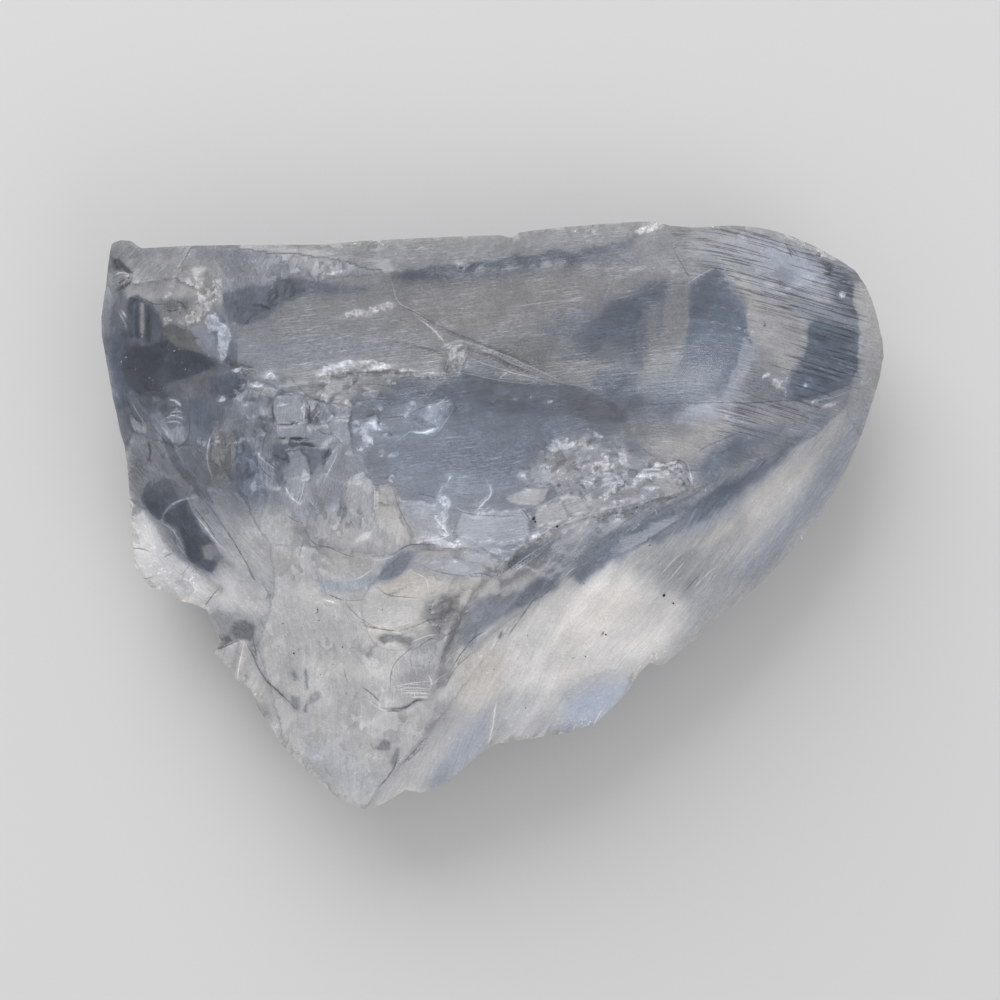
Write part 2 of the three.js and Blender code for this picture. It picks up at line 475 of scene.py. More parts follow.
def region(*corners, soft=0.12, wobble=0.14, fray=0.12, seed=5):
    (left, low), (right, high) = np.min(corners, 0) - soft - 0.8, np.max(corners, 0) + soft + 0.8
    near = (x > left) & (x < right) & (y > low) & (y < high)
    px = x[near] + wobble * rough(x[near], y[near], 0.9, seed)
    py = y[near] + wobble * rough(x[near], y[near], 0.9, seed + 50)
    mask = np.zeros_like(x)
    mask[near] = fade(inside_by(px, py, list(corners)) + fray * silk[near], -soft, soft)
    return mask


def wash(patches, seed=500):
    for index, (corners, soft, amount, tone, warm, milk) in enumerate(patches):
        mask = region(
            *corners, soft=soft, wobble=0.1 + 0.5 * soft, fray=0.05 + 0.5 * soft, seed=seed + index)
        lay(amount * mask, tone=tone, warm=warm, milk=milk, crisp=0.8 if soft < 0.15 else 0.0)


DRAW_SEED = 600


def draw(lines):
    for index, (points, half, amount, tone) in enumerate(lines):
        aside, share = from_line(points, 1.0, 0.06, DRAW_SEED + index)
        ends = ends_of(share, 0.25, 0.25)
        # Lines lighter than 0.58 are painted glints, raised a little; darker ones are cracks, sunk a little.
        top_z[:] += (0.035 if tone > 0.58 else -0.05) * ends * fade(0.16 - np.abs(aside), 0, 0.16)
        signed, unsigned, strength = thin_lines["crack" if tone < 0.58 else "glint"]
        nearer = np.abs(aside) < unsigned
        signed[nearer], unsigned[nearer] = aside[nearer], np.abs(aside)[nearer]
        strength[nearer] = (amount * min(1, half / 0.055) * (0.35 + 0.65 * ends))[nearer]
        if half > 0.075:
            lay(amount * fade(half - np.abs(aside), -0.05, 0.06) * ends, tone=tone, crisp=0.7)


def set_facet(mask, dip=(0.0, 0.0), sink=0.0):
    weight = mask / mask.sum()
    centre = [(weight * value).sum() for value in (x, y, top_z)]
    plane = centre[2] - sink + dip[0] * (x - centre[0]) + dip[1] * (y - centre[1])
    top_z[:] += (plane - top_z) * mask


def set_bowl(centre, half, depth, turn=0.0, dip=(0.0, 0.0), uneven=0.12):
    wavy = uneven * half[1]
    along_bowl, across_bowl = turned(x + wavy * cloudy, y + wavy * cloudy_fine, centre, turn)
    inside = (along_bowl / half[0]) ** 2 + (across_bowl / half[1]) ** 2
    core = inside < 1
    from_x, from_y = x - centre[0], y - centre[1]
    plan = np.stack([from_x[core], from_y[core], np.ones(core.sum())], -1)
    slope_x, slope_y, level = np.linalg.lstsq(plan, top_z[core], rcond=None)[0]
    bowl = level + (slope_x + dip[0]) * from_x + (slope_y + dip[1]) * from_y + depth * (inside - 1)
    cut = (inside < 1.6) & (bowl < top_z)
    top_z[cut] = bowl[cut]


def crush(mask, size, height, seed, frost=0.6, tones=None, stretch=1.0, turn=20):
    near = mask > 0
    u, v = turned(x[near], y[near], (0, 0), turn)
    uneven = 0.12 * rough(x[near], y[near], 0.8, seed + 5)
    lumps = facets((u + uneven) / stretch, v + uneven, size, seed, 0.55)
    finer = facets(u / stretch, v + uneven, size * 0.45, seed + 7, 0.5)
    top_z[near] += mask[near] * height * (lumps + 0.5 * finer)
    # painted light and shade: each flat is lighter, and frostier, where it stands higher
    light = np.zeros_like(x)
    light[near] = np.clip(0.5 + 1.0 * (lumps + finer) / size + 0.3 * cloudy_fine[near], 0, 1)
    lay(mask, frost=frost * (0.55 + 0.9 * light), milk=0.85, crisp=0.6, chips=0.45)
    if tones is not None:
        lay(mask, tone=tones[0] + (tones[1] - tones[0]) * light)


def fleck(at, half, turn, size, seed, frost, tones):
    ragged = fade(rough(x, y, 0.45, seed + 3), -0.45, 0.0)
    bruised = ragged * spot(x + 0.14 * cloudy_fine, y + 0.12 * cloudy, at, half, turn, 0.4)
    crush(bruised, size, 0.25, seed, frost, tones)


FACE_FINISH = {
    "top_rim": (0.53, 0.1, 0.7),
    "right_end": (0.54, -0.1, 0.62),
    "right_rim": (0.62, 0.0, 0.8),
    "low_bevel": (0.68, 0.0, 0.88),
    "bench": (0.56, -0.2, 0.62),
    "apron": (0.715, 0.1, 0.9),
    "west_bevel": (0.66, 0.0, 0.8),
    "left_side": (0.42, -0.6, 0.45),
    "knob": (0.52, 0.0, 0.65),
    "trough": (0.55, 0.1, 0.64),
    "middle": (0.5, -0.4, 0.58),
    "cove": (0.73, 0.3, 0.88),
    "window": (0.42, -0.5, 0.35),
    "left_low": (0.62, -0.1, 0.65),
    "shell_notch": (0.68, -0.3, 0.8),
    "bevel": (0.67, 0.0, 0.88),
}
for name, (tone, warm, milk) in FACE_FINISH.items():
    here = on(name)
    lay(here, tone=tone, warm=warm, milk=milk)
print("marks on", len(FACE_FINISH), "faces")

# %% [markdown]
# ## A broken ground
#
# No stretch of a broken crystal is quite plain. The rougher faces get low tilted flats of a few sizes,
# the long ones get stepped streaks, and both stay shallow, a few hundredths of a millimetre.

# %% Ground texture
def treads(period, seed, share=0.6):
    phase = across / period + 0.6 * rough(along / 9, across / 3, 1.0, seed)
    step = np.floor(phase)
    where = 0.5 + 0.5 * waves(along / 5.0 + 31.7 * scatter(step, step * 0, seed + 3), step * 7.3, 1.0, seed)
    present = fade(where, 1 - share, 1.15 - share)
    ramp = phase - step
    return (ramp - 0.5) * present, present * fade(ramp, 0.72, 1.0)


STREAK_DEPTH = {
    "trough": 0.03, "middle": 0.05, "top_rim": 0.03, "right_end": 0.05, "bevel": 0.016,
    "low_bevel": 0.01, "apron": 0.03, "left_low": 0.03, "bench": 0.02, "west_bevel": 0.05,
}
depth = sum(value * on(name) for name, value in STREAK_DEPTH.items())
lined = fade(x, 11, 16) * fade(y, 8, 12) + fade(x, 12.5, 15) * fade(y, 3.5, 4.5) * fade(-y, -7.4, -6.8)
lined = np.clip(lined, 0, 1)
depth = depth * (0.4 + 0.6 * fade(rough(x, y, 4.0, 61), -0.4, 0.4)) + 0.06 * lined
fine_step, fine_riser = treads(0.55, 21)
wide_step, wide_riser = treads(1.05, 22, 0.45)
top_z += depth * fine_step + 1.3 * depth * wide_step
GROUND = {
    "bench": 0.3, "apron": 0.2, "cove": 0.2, "left_low": 0.22, "west_bevel": 0.25, "middle": 0.07,
    "window": 0.12, "top_rim": 0.12,
}
ground = sum(value * on(name) for name, value in GROUND.items())
broad = facets(x + 0.3 * cloudy, y + 0.3 * cloudy_fine, 2.6, 63, 0.35)
small = facets(x + 0.2 * cloudy, y + 0.1 * cloudy_fine, 1.0, 64, 0.45)
patchy = fade(rough(x, y, 3.2, 65), -0.15, 0.35)
top_z += ground * (broad * 0.8 + small * 0.7 * patchy)
lay(1.0, chips=np.clip(0.08 + 1.4 * ground * (0.4 + 0.6 * patchy), 0, 0.5))
# painted light and shade: each low flat is lighter where it stands higher
lay(np.clip(2.0 * ground, 0, 1) * 0.5, tone=marks["tone"] + 0.1 * broad + 0.12 * small * patchy)
print("streaks up to", depth.max().round(3), "mm, flats up to", (ground * np.abs(broad)).max().round(2), "mm")
# %% [markdown]
# ## The main ridge
#
# A sharp crest runs from the toe to the nose. It is double: an upper line, crumbled to a rough cord,
# and a lower one where the wide bevel starts. Between the two the break dips steeply, and a painted
# shade laid along that dip draws the dark band. Toward the nose the two lines run together.

# %% Main ridge, its band and its cord
top_z -= (0.2 * fade(ridge_share, 0.12, 0.35) + 0.05) * beyond(ridge_aside, 0.9)
BAND_TOP = [
    (-4.3, -12.1), (-3.5, -10.4), (-3.1, -8.6), (-2.4, -6.7), (-1.2, -4.8), (0.1, -3.4), (1.7, -2),
    (3.3, -1.1), (5.2, -0.3), (7.5, 0.3), (9.7, 0.9), (11.9, 1.5), (13.5, 1.9),
]
band_aside, band_share = from_line(BAND_TOP, 4.0, 0.12)
band_ends = ends_of(band_share, 0.1, 0.12)
top_z -= 0.4 * beyond(band_aside, 0.8) * band_ends
cord = 0.26 + 0.2 * rough(x, y, 1.8, 41) + 0.42 * spot(x, y, (7.5, 0.3), (4.5, 3), soft=0.6)
cord_mask = fade(cord - np.abs(band_aside - 0.1), -0.12, 0.2) * band_ends
crush(cord_mask, 0.45, 0.28, 43, 0.2, (0.54, 0.64), 1.6, 38)
lay(0.6 * cord_mask, warm=0.2)
crush(cord_mask * fade(rough(x, y, 1.0, 44), 0.15, 0.4), 0.3, 0.2, 45, 0.55, (0.56, 0.7), 1.6, 38)
print("band:", round(float((cord_mask > 0.5).sum() * STEP**2 * 0.87), 1), "mm2 of crumbled crest")

# %% [markdown]
# ## The right end
#
# One looks down through this end on to the faces below, and so pale veils and dark clear fields lie
# side by side. Some edges are crisp, where a face below ends, and others fade. Fine dark steps fan
# across the whole end.

# %% Right end: veils, fields and steps
wash([
    ([(12.6, 17.2), (15.8, 17.9), (19.6, 17.5), (21.2, 16.3), (21.5, 13.8), (20.3, 12.7), (18.3, 13.3),
      (16.4, 13.8), (14.6, 16), (13.2, 16.3)], 0.5, 1.0, 0.565, -0.1, 0.75),
    ([(16.8, 17.5), (19.6, 16.8), (21, 16.3), (21.5, 14.2), (20.3, 13.5), (18.9, 14.5),
      (17.5, 15.6)], 0.25, 0.8, 0.59, -0.5, 0.75),
    ([(14.8, 16.3), (16.1, 13.8), (16.2, 11.9), (16.6, 11.1), (17.5, 10.5), (18.4, 9.1), (18.9, 9.1),
      (20, 11), (20.2, 12.1), (19.6, 12.7), (18.6, 13.1), (17.3, 13.8),
      (16.1, 15.1)], 0.12, 1.0, 0.595, 0.15, 0.78),
    ([(16.7, 11), (17.7, 10.5), (18.6, 8.9), (18, 7.7), (17, 7.8), (16.4, 9.4)], 0.2, 0.8, 0.54, 0.0, 0.65),
    ([(16.5, 9.9), (17.7, 9), (18.6, 8), (18.3, 7.3), (16.5, 7.3), (15.9, 8.2)], 0.2, 0.9, 0.48, -0.2, 0.5),
    ([(18.9, 13.2), (20.5, 12.8), (23.4, 11.9), (23.4, 12.8), (21.5, 13.6),
      (19.6, 13.8)], 0.3, 0.8, 0.53, -0.6, 0.6),
    ([(20.2, 12.2), (20.7, 12.5), (23.4, 11.8), (23.4, 9.2), (22.6, 8.4), (20.9, 7.6), (19.3, 7.5),
      (18.6, 7.9), (18.9, 8.9), (19.7, 9.9), (20.1, 11)], 0.1, 1.0, 0.455, -0.9, 0.5),
    ([(18.6, 7.9), (19.6, 8.7), (20.7, 8.3), (20.3, 7.5), (18.9, 7.4)], 0.15, 0.7, 0.41, -0.8, 0.5),
    ([(21.1, 16.3), (21.5, 16.3), (22.8, 15.5), (23, 14.8), (23, 13.6), (23.3, 12.7), (22.4, 12.7),
      (21.9, 13.3), (21.6, 14.5), (21.2, 15.4)], 0.07, 1.0, 0.5, -0.6, 0.55),
    ([(23, 15.1), (23.5, 14.9), (24.3, 13.8), (24.8, 11.9), (24.8, 9.7), (23.5, 8.7), (23.3, 9.4),
      (23.4, 11.6), (23.3, 12.9), (22.9, 13.8)], 0.05, 1.0, 0.65, 0.1, 0.85),
])
combed = region((11.4, 18.2), (15.8, 18.8), (19.6, 17.9), (23.5, 14.8), (23.4, 9.2), (19.6, 7.5),
    (17.7, 8.7), (19.6, 11.9), (15.8, 14.2), (12.6, 16.7), soft=0.7, wobble=0.5)
combed = np.maximum(combed, 0.8 * region((14.5, 7.3), (23.4, 8.4), (20.2, 6.2), (16.1, 4.6),
  (14.2, 4.9), soft=0.5))
lay(combed, comb=1.0)
wide_dark = combed * (0.5 * wide_riser + 0.35 * fine_riser)
lay(wide_dark, tone=0.4, warm=-0.6)
draw([
    ([(9.4, 7.1), (12.6, 7.3), (16.1, 7.3), (20.3, 7.5)], 0.05, 0.8, 0.36),
    ([(14.5, 6.4), (15.8, 6.1), (16.5, 5.9)], 0.06, 0.9, 0.8), ([(15, 6.6), (16.5, 6.3)], 0.05, 0.8, 0.78),
    ([(18.7, 17.5), (18.9, 17), (19.1, 16.5)], 0.05, 0.9, 0.34),
    ([(18.9, 17.3), (19.4, 16.6)], 0.04, 0.8, 0.36), ([(21.1, 16.1), (21.6, 16.1)], 0.06, 1.0, 0.3),
    ([(21.2, 15.8), (21.7, 15.8)], 0.08, 1.0, 0.26), ([(21.2, 15.5), (21.7, 15.4)], 0.06, 1.0, 0.3),
    ([(22, 15.1), (23, 15.1)], 0.05, 0.9, 0.36), ([(18.9, 7.5), (21.5, 8), (23.1, 8.6)], 0.06, 0.6, 0.36),
    ([(19.6, 7.2), (21.5, 7.6), (22.8, 8.1)], 0.05, 0.6, 0.7),
])
crush(spot(x, y, (22.3, 14.2), (0.2, 0.2), 0, 0.4), 0.3, 0.3, 50, 1.0, (0.8, 0.8))
for at, half in (((23.9, 8.7), (0.45, 0.22)), ((21.5, 7.2), (0.6, 0.16)), ((20.6, 7.3), (0.3, 0.2)),
        ((18.1, 8.5), (0.2, 0.35)), ((18.5, 8), (0.15, 0.3)), ((20, 8.4), (0.15, 0.15)),
        ((10, 18.4), (1.3, 0.22)), ((20.9, 16.6), (0.2, 0.14)), ((18.5, 8.7), (0.35, 0.1)),
        ((17.5, 9), (0.3, 0.12))):
    fleck(at, half, 20, 0.35, 51, 0.9, (0.66, 0.85))

# %% [markdown]
# ## Clear fields along the trough
#
# Left of the right end the trough shows a kite-shaped clear field, a pale column beside it, and a
# darker stretch that frays out to the left along the streaks.

# %% Kite, column and frayed field
wash([
    ([(4.3, 13.1), (6.8, 13.5), (7, 11.3), (4.6, 11), (3, 11.6), (2.7, 12.4)], 0.5, 0.7, 0.5, -0.4, 0.6),
    ([(11.2, 15.1), (10, 14.7), (8.7, 14.1), (7.5, 13.6), (6.6, 12.8), (5.5, 11.9), (5.2, 11), (6.6, 10),
      (8.4, 9.4), (9.5, 9.7), (10, 10.7), (10.9, 12.4)], 0.3, 0.95, 0.455, -0.6, 0.5),
    ([(11.1, 15.1), (9.4, 14.3), (7.5, 13.6), (7, 12.7), (8.7, 12.7),
      (10.3, 13.5)], 0.18, 0.8, 0.425, -0.7, 0.5),
    ([(9, 13.1), (9.4, 13.1), (9.4, 11), (9.6, 9.4), (8.9, 9), (8.7, 11)], 0.12, 0.8, 0.42, -0.8, 0.5),
    ([(6.4, 9.2), (8.6, 9.5), (9.6, 8.9), (9.1, 7.8), (7.6, 7.7), (6.4, 8.4)], 0.25, 0.9, 0.44, -0.8, 0.5),
    ([(4.3, 10.5), (6.6, 10.5), (6.2, 9.9), (4.4, 9.9)], 0.25, 0.6, 0.47, -0.5, 0.5),
    ([(9.4, 8.9), (11.4, 9.7), (11.4, 7.5), (9.7, 7.1)], 0.35, 0.7, 0.51, -0.3, 0.6),
    ([(8.6, 7.6), (9.4, 7.7), (9.6, 7), (8.6, 6.8)], 0.18, 0.9, 0.43, -0.6, 0.5),
    ([(6.8, 11), (8.6, 11.2), (8.6, 10), (7.1, 9.9)], 0.3, 0.5, 0.52, 0.2, 0.6),
    ([(11.1, 16.3), (12.6, 16.3), (12.6, 14.8), (12.4, 13.1), (12.2, 11.6), (11.7, 10.5), (10.9, 9.9),
      (10.6, 10.5), (10.9, 12.2), (11, 13.8), (11.2, 15.1)], 0.14, 0.9, 0.515, 0.1, 0.68),
    ([(9.9, 13.5), (10.5, 13.7), (10.6, 12.7), (10.3, 11), (10.1, 10), (9.8, 10),
      (9.8, 11.9)], 0.1, 0.75, 0.51, 0.1, 0.65),
    ([(9.1, 12.2), (9.6, 12.7), (9.5, 11), (9.2, 10.3)], 0.09, 0.5, 0.5, 0.2, 0.62),
    ([(14.3, 15.9), (14.6, 15.8), (15.1, 14.5), (16.1, 13.6), (16.2, 11.9), (16.6, 11), (15.8, 9.5),
      (15.2, 8.1), (13.5, 7.5), (11.4, 8.2), (12.2, 10.7), (12.5, 12.6), (12.6, 14.7),
      (13.5, 15.4)], 0.11, 1.0, 0.495, -0.8, 0.5),
    ([(14.3, 15.8), (15.1, 14.5), (15.8, 13.8), (15.5, 13.1), (14.2, 13.7), (13.6, 12.7), (12.7, 12.6),
      (12.7, 14.5), (13.6, 15.3)], 0.16, 0.8, 0.435, -0.8, 0.48),
    ([(13.6, 13.5), (14, 13.7), (14, 13.1), (13.7, 12.6), (13.2, 12.2),
      (13, 12.6)], 0.1, 0.6, 0.5, -0.4, 0.55),
    ([(12.2, 9.5), (14.8, 9.8), (14.6, 7.2), (9.7, 7), (10, 8.7)], 0.5, 0.75, 0.505, -0.6, 0.62),
    ([(16, 11.4), (16.8, 10.9), (16.4, 9.6), (15.5, 7.8), (15, 7), (14.2, 7), (15.1, 8.6),
      (15.6, 10.2)], 0.11, 0.9, 0.575, -0.3, 0.7),
    ([(11.4, 6.6), (14.2, 7.2), (15.4, 7.3), (15, 5.9), (12.6, 5.3),
      (11.2, 5.8)], 0.3, 0.9, 0.69, -0.5, 0.8),
])
draw([
    ([(12.3, 14.8), (13.2, 15.4), (14.2, 15.9)], 0.05, 0.7, 0.68),
    ([(7.3, 13.8), (9.4, 14.3), (10.8, 15.1)], 0.05, 0.5, 0.64),
    ([(11.5, 17), (11.9, 16.3), (12.6, 15.2)], 0.06, 0.6, 0.46),
    ([(11.7, 17.3), (12.3, 17.3)], 0.05, 0.5, 0.46), ([(17.3, 12.4), (17.4, 12.2)], 0.05, 1.0, 0.25),
    ([(7.1, 13.8), (7.4, 14.8), (7.2, 15.4)], 0.05, 0.4, 0.62),
])

# %% [markdown]
# ## The trough and its rim
#
# A painted shade underlines the upper rim, where the wall below it faces away from the light. Its
# upper edge is crisp and its lower edge soft. The trough below it is silky and pale, and the crushed
# white crescent edges it at the bottom.

# %% Trough, painted rim shade and crescent
wash([
    ([(-16.8, 11.9), (-10.4, 11.6), (-4.7, 11), (-10.4, 9.2), (-15.5, 9.2),
      (-16.6, 10.3)], 0.6, 0.7, 0.545, -0.3, 0.68),
    ([(-4.7, 14.8), (4.3, 15.4), (6.8, 15.1), (6.2, 13.8), (-0.8, 11.9),
      (-5.9, 12.6)], 0.8, 0.7, 0.56, 0.35, 0.68),
    ([(0.4, 11.6), (4.3, 11), (4.3, 8.9), (1.7, 9.4), (-0.8, 10.7)], 0.4, 0.8, 0.49, 0.2, 0.6),
    ([(-17.3, 14.3), (-16.1, 14.6), (-14.7, 14.8), (-13.6, 15.2), (-12.3, 15.2), (-11.2, 14.9), (-10, 14.7),
      (-10, 14.3), (-11.5, 14.3), (-12.9, 13.8), (-13.9, 13.3), (-14.7, 12.6), (-15.8, 12.2), (-16.9, 12.7),
      (-17.3, 13.5)], 0.14, 1.0, 0.445, -0.5, 0.5),
    ([(-12.3, 15), (-9.4, 14.9), (-7.7, 14.5), (-9.8, 14.2), (-12, 14.3)], 0.1, 0.7, 0.47, -0.5, 0.55),
    ([(-14.7, 17), (-10.3, 17), (-9.8, 15.9), (-10.9, 15.4), (-13.3, 16.3)], 0.25, 0.8, 0.6, 0.1, 0.8),
    ([(5.8, 17), (6.8, 17.3), (8.2, 17.5), (9.1, 17.9), (9, 17.3), (7.6, 16.9),
      (6.4, 16.8)], 0.15, 0.7, 0.44, -0.5, 0.5),
    ([(8.6, 16.5), (9.5, 16.8), (9.2, 16.3), (8.7, 16.1)], 0.15, 0.7, 0.49, -0.3, 0.6),
])
RIM_SHADE_LINE = [
    (-6.6, 15.7), (-4, 15.9), (-2.1, 16.1), (-0.2, 16.3), (1.7, 16.6), (3.6, 16.9), (5.5, 17), (7.5, 17.2),
    (9.7, 17.5),
]
aside, share = from_line(RIM_SHADE_LINE, 2.0, 0.25)
# painted shade under the upper rim: dark, crisp at the top and fading downwards
painted_rim_shade = fade(aside, -0.1, 0.06) * fade(-aside, -1.5, -0.35) * ends_of(share, 0.06,
  0.35) * (np.abs(aside) < 2)
lay(0.95 * painted_rim_shade, tone=0.37, warm=-0.5, milk=0.7, crisp=0.7)
for at, half in (((-8.2, 13.1), (1.7, 0.28)), ((-6.8, 13.5), (0.5, 0.3)), ((-11, 15.7), (0.2, 0.5)),
        ((-10.1, 15.6), (0.6, 0.12))):
    fleck(at, half, 14, 0.35, 47, 0.75, (0.62, 0.74))
CRESCENT_FOOT = [(-11.6, 8.9), (-10, 8.9), (-8.5, 9.3), (-5.9, 9.1), (-3, 9.1), (-2, 9.2), (0.4, 8.7),
  (3.3, 8.4), (6.6, 8)]
aside, share = from_line(CRESCENT_FOOT, 3.0, 0.2)
step_down = fade(aside, -0.12, 0.1) * ends_of(share, 0.06, 0.35) * (aside < 90)
top_z -= 0.3 * step_down * np.exp(-np.clip(aside, 0, 9) / 1.8)
clear_floor = region((-6.2, 8.9), (-3.1, 9), (-2, 9.2), (-0.7, 8.7), (1.1, 8.5), (3.3, 8.4), (5.4, 8.3),
    (6.3, 8), (7.6, 7.3), (8.4, 6.8), (8.6, 6.2), (6.8, 5.9), (4.3, 6.6), (1.7, 6.4), (-0.8, 6.8),
    (-2.4, 7.2), (-3.4, 7.7), (-5.2, 7.8), (-6.9, 8.4), soft=0.14, wobble=0.2, fray=0.05)
lay(clear_floor, tone=0.435, warm=-0.5, milk=0.48)
lay(0.5 * clear_floor * fade(x, 3.5, 6), warm=0.1)
crescent = region((-11.2, 9.4), (-10.4, 9.8), (-9.4, 10.1), (-7.7, 10.1), (-7, 9.9), (-6.2, 9.5),
    (-4.7, 9.3), (-3, 9.2), (-3, 8.9), (-5.9, 9), (-7.5, 9.1), (-9.1, 9.2), (-9.9, 9.2), (-10.4, 8.5),
    (-11, 8.7), soft=0.08, wobble=0.15, fray=0.03)
chip = region((-2.9, 10.7), (-2.1, 11), (-1.6, 10.9), (-1.5, 10.5), (-1.8, 9.8), (-2.1, 9.2), (-3, 9.2),
    (-3, 9.6), (-2.7, 10.1), soft=0.07, wobble=0.15, fray=0.03)
set_facet(chip, (0.1, 0.4), 0.08)
crush(np.maximum(crescent, chip), 0.35, 0.12, 45, 0.9, (0.6, 0.7), 1.0, 0)
lay(0.8 * region((-1.6, 10.1), (-0.1, 9.6), (0.6, 8.9), (-0.6, 8.9),
  (-1.8, 9.3), soft=0.1), tone=0.56, warm=-0.5, milk=0.7)
draw([
    ([(-3, 9.1), (-2, 9.2), (0.4, 8.7), (3.3, 8.4)], 0.07, 0.8, 0.68),
    ([(-1.6, 10.7), (-0.2, 10.3), (1.2, 9.7), (3, 8.9)], 0.05, 0.8, 0.4),
    ([(-1.5, 10.8), (-0.1, 10.5), (1.3, 9.8), (3.1, 9.1)], 0.05, 0.8, 0.7),
    ([(-1.6, 10.2), (-0.1, 9.6), (1.7, 9.1), (3, 8.7)], 0.05, 0.8, 0.68),
    ([(-1.1, 10.5), (0.4, 9.9), (1.4, 9.2)], 0.04, 0.8, 0.4),
    ([(0.3, 8.8), (0.8, 9.1), (1.3, 9.4)], 0.07, 1.0, 0.78),
    ([(3, 8.5), (5.2, 8.4), (6.6, 7.9)], 0.05, 0.5, 0.6),
    ([(-6.4, 15), (-6.1, 13.8), (-5.2, 13.2), (-4, 12.6)], 0.05, 0.7, 0.68),
    ([(-4.8, 12.7), (-3.8, 11.9), (-3, 11)], 0.08, 0.9, 0.72),
    ([(-6.1, 13.5), (-4.7, 12.9), (-3.4, 12.1)], 0.05, 0.7, 0.44),
    ([(-4, 12.4), (-1.5, 11.4), (0.8, 10.5), (3, 9.5)], 0.05, 0.8, 0.42),
    ([(-3.4, 11.9), (-0.8, 11), (1.7, 10), (4.3, 8.9)], 0.04, 0.6, 0.44),
    ([(-2.7, 11.3), (-0.2, 10.7), (2.4, 9.6), (4.7, 8.5)], 0.05, 0.7, 0.68),
    ([(0.4, 9.9), (2.4, 9.1), (5.2, 8.2)], 0.05, 0.7, 0.4),
    ([(-6.9, 11.2), (-5.3, 11), (-3, 10.2)], 0.04, 0.6, 0.42),
    ([(-6.1, 11.4), (-4.3, 10.9), (-2.9, 10.4)], 0.04, 0.6, 0.66),
    ([(-5.6, 10.8), (-4, 10.7), (-3, 10.4)], 0.04, 0.6, 0.44),
    ([(-10.4, 11.9), (-8.2, 11.4), (-5.9, 11.4)], 0.05, 0.4, 0.64),
    ([(-9.4, 8.4), (-7.7, 8.5), (-5.9, 8.2)], 0.05, 0.5, 0.4),
    ([(0.8, 13.3), (4.3, 13.8), (6.7, 13.8)], 0.05, 0.5, 0.66),
])

# %% [markdown]
# ## Crushed stone
#
# Where the blow landed the crystal is crushed to small tilted flats that catch the light one by one,
# and each flat is also painted lighter where it stands higher, as painted light and shade.
# Each flat is one cell of a cell noise, and the cells are drawn out along the cleavage. A few larger
# plates lie among them.

# %% Rubble on the crest and frosty flecks
rubble = region((3.3, 4.5), (4.4, 5.4), (5.5, 5.4), (6.8, 4.7), (8.2, 4.3), (9.4, 3.5), (10.8, 3.4),
    (12.1, 3.5), (12.8, 2.5), (13.3, 1.8), (11.9, 1.3), (10, 0.9), (8.1, 0.6), (6.2, 0.3), (4.3, 1.3),
    (3.3, 2), (1.8, 2.5), (2.6, 3.5), soft=0.35, wobble=0.5, fray=0.2)
lay(0.8 * rubble, warm=0.0)
crush(rubble, 0.8, 0.24, 33, 0.28, (0.5, 0.62), 1.5, 24)
crush(rubble * fade(rough(x, y, 1.6, 48), 0.0, 0.35), 0.4, 0.4, 49, 0.45, (0.52, 0.7), 1.3, 24)
lay(0.6 * region((4, 4), (5.2, 3.8), (5, 2), (4, 1.7), soft=0.3), tone=0.51, warm=0.2)
PLATES = [
    ([(6.2, 4.3), (6.8, 4.4), (6.9, 3.6), (6.3, 3.5)], (0.1, 0.1), 0.56, 0.1),
    ([(8, 4.1), (8.5, 4.1), (8.7, 3.4), (8.2, 3.3)], (-0.3, 0.3), 0.7, 0.6),
    ([(7, 3.8), (7.3, 3.9), (7.3, 3), (7, 2.9)], (0.4, 0.1), 0.68, 0.6),
    ([(10.3, 2.4), (11.2, 2.7), (12.2, 1.7), (10.9, 1.3)], (0.2, 0.3), 0.64, 0.2),
    ([(4.3, 1.3), (5.5, 1.4), (6.1, 0.4), (5.2, 0.1), (4.4, 0.7)], (0.1, 0.1), 0.63, 0.1),
    ([(6.1, 1.1), (7.5, 1), (7.1, 0.6), (6.2, 0.6)], (-0.1, 0.3), 0.62, 0.2),
    ([(8.4, 1.9), (9.2, 2), (9.4, 1.3), (7.6, 1), (7.7, 1.4)], (0.1, 0.25), 0.61, 0.1),
    ([(4.3, 1.1), (3.3, 0.8), (2.7, 0.3), (2.6, -0.7), (4, -0.4), (4.8, -0.1)], (0.05, 0.12), 0.66, 0.1),
    ([(0.8, 1.3), (2.4, 1.8), (3.6, 1.9), (3.3, 1.1), (2.8, 0.7), (1.1, 0.9)], (0.05, 0.1), 0.665, 0.1),
]
for index, (corners, dip, tone, frost) in enumerate(PLATES):
    plate = region(*corners, soft=0.06, wobble=0.12, fray=0.02, seed=70 + index)
    set_facet(0.8 * plate, dip, -0.03)
    lay(plate, tone=tone, frost=frost, milk=0.8, warm=0.0, crisp=0.8, chips=0.15)
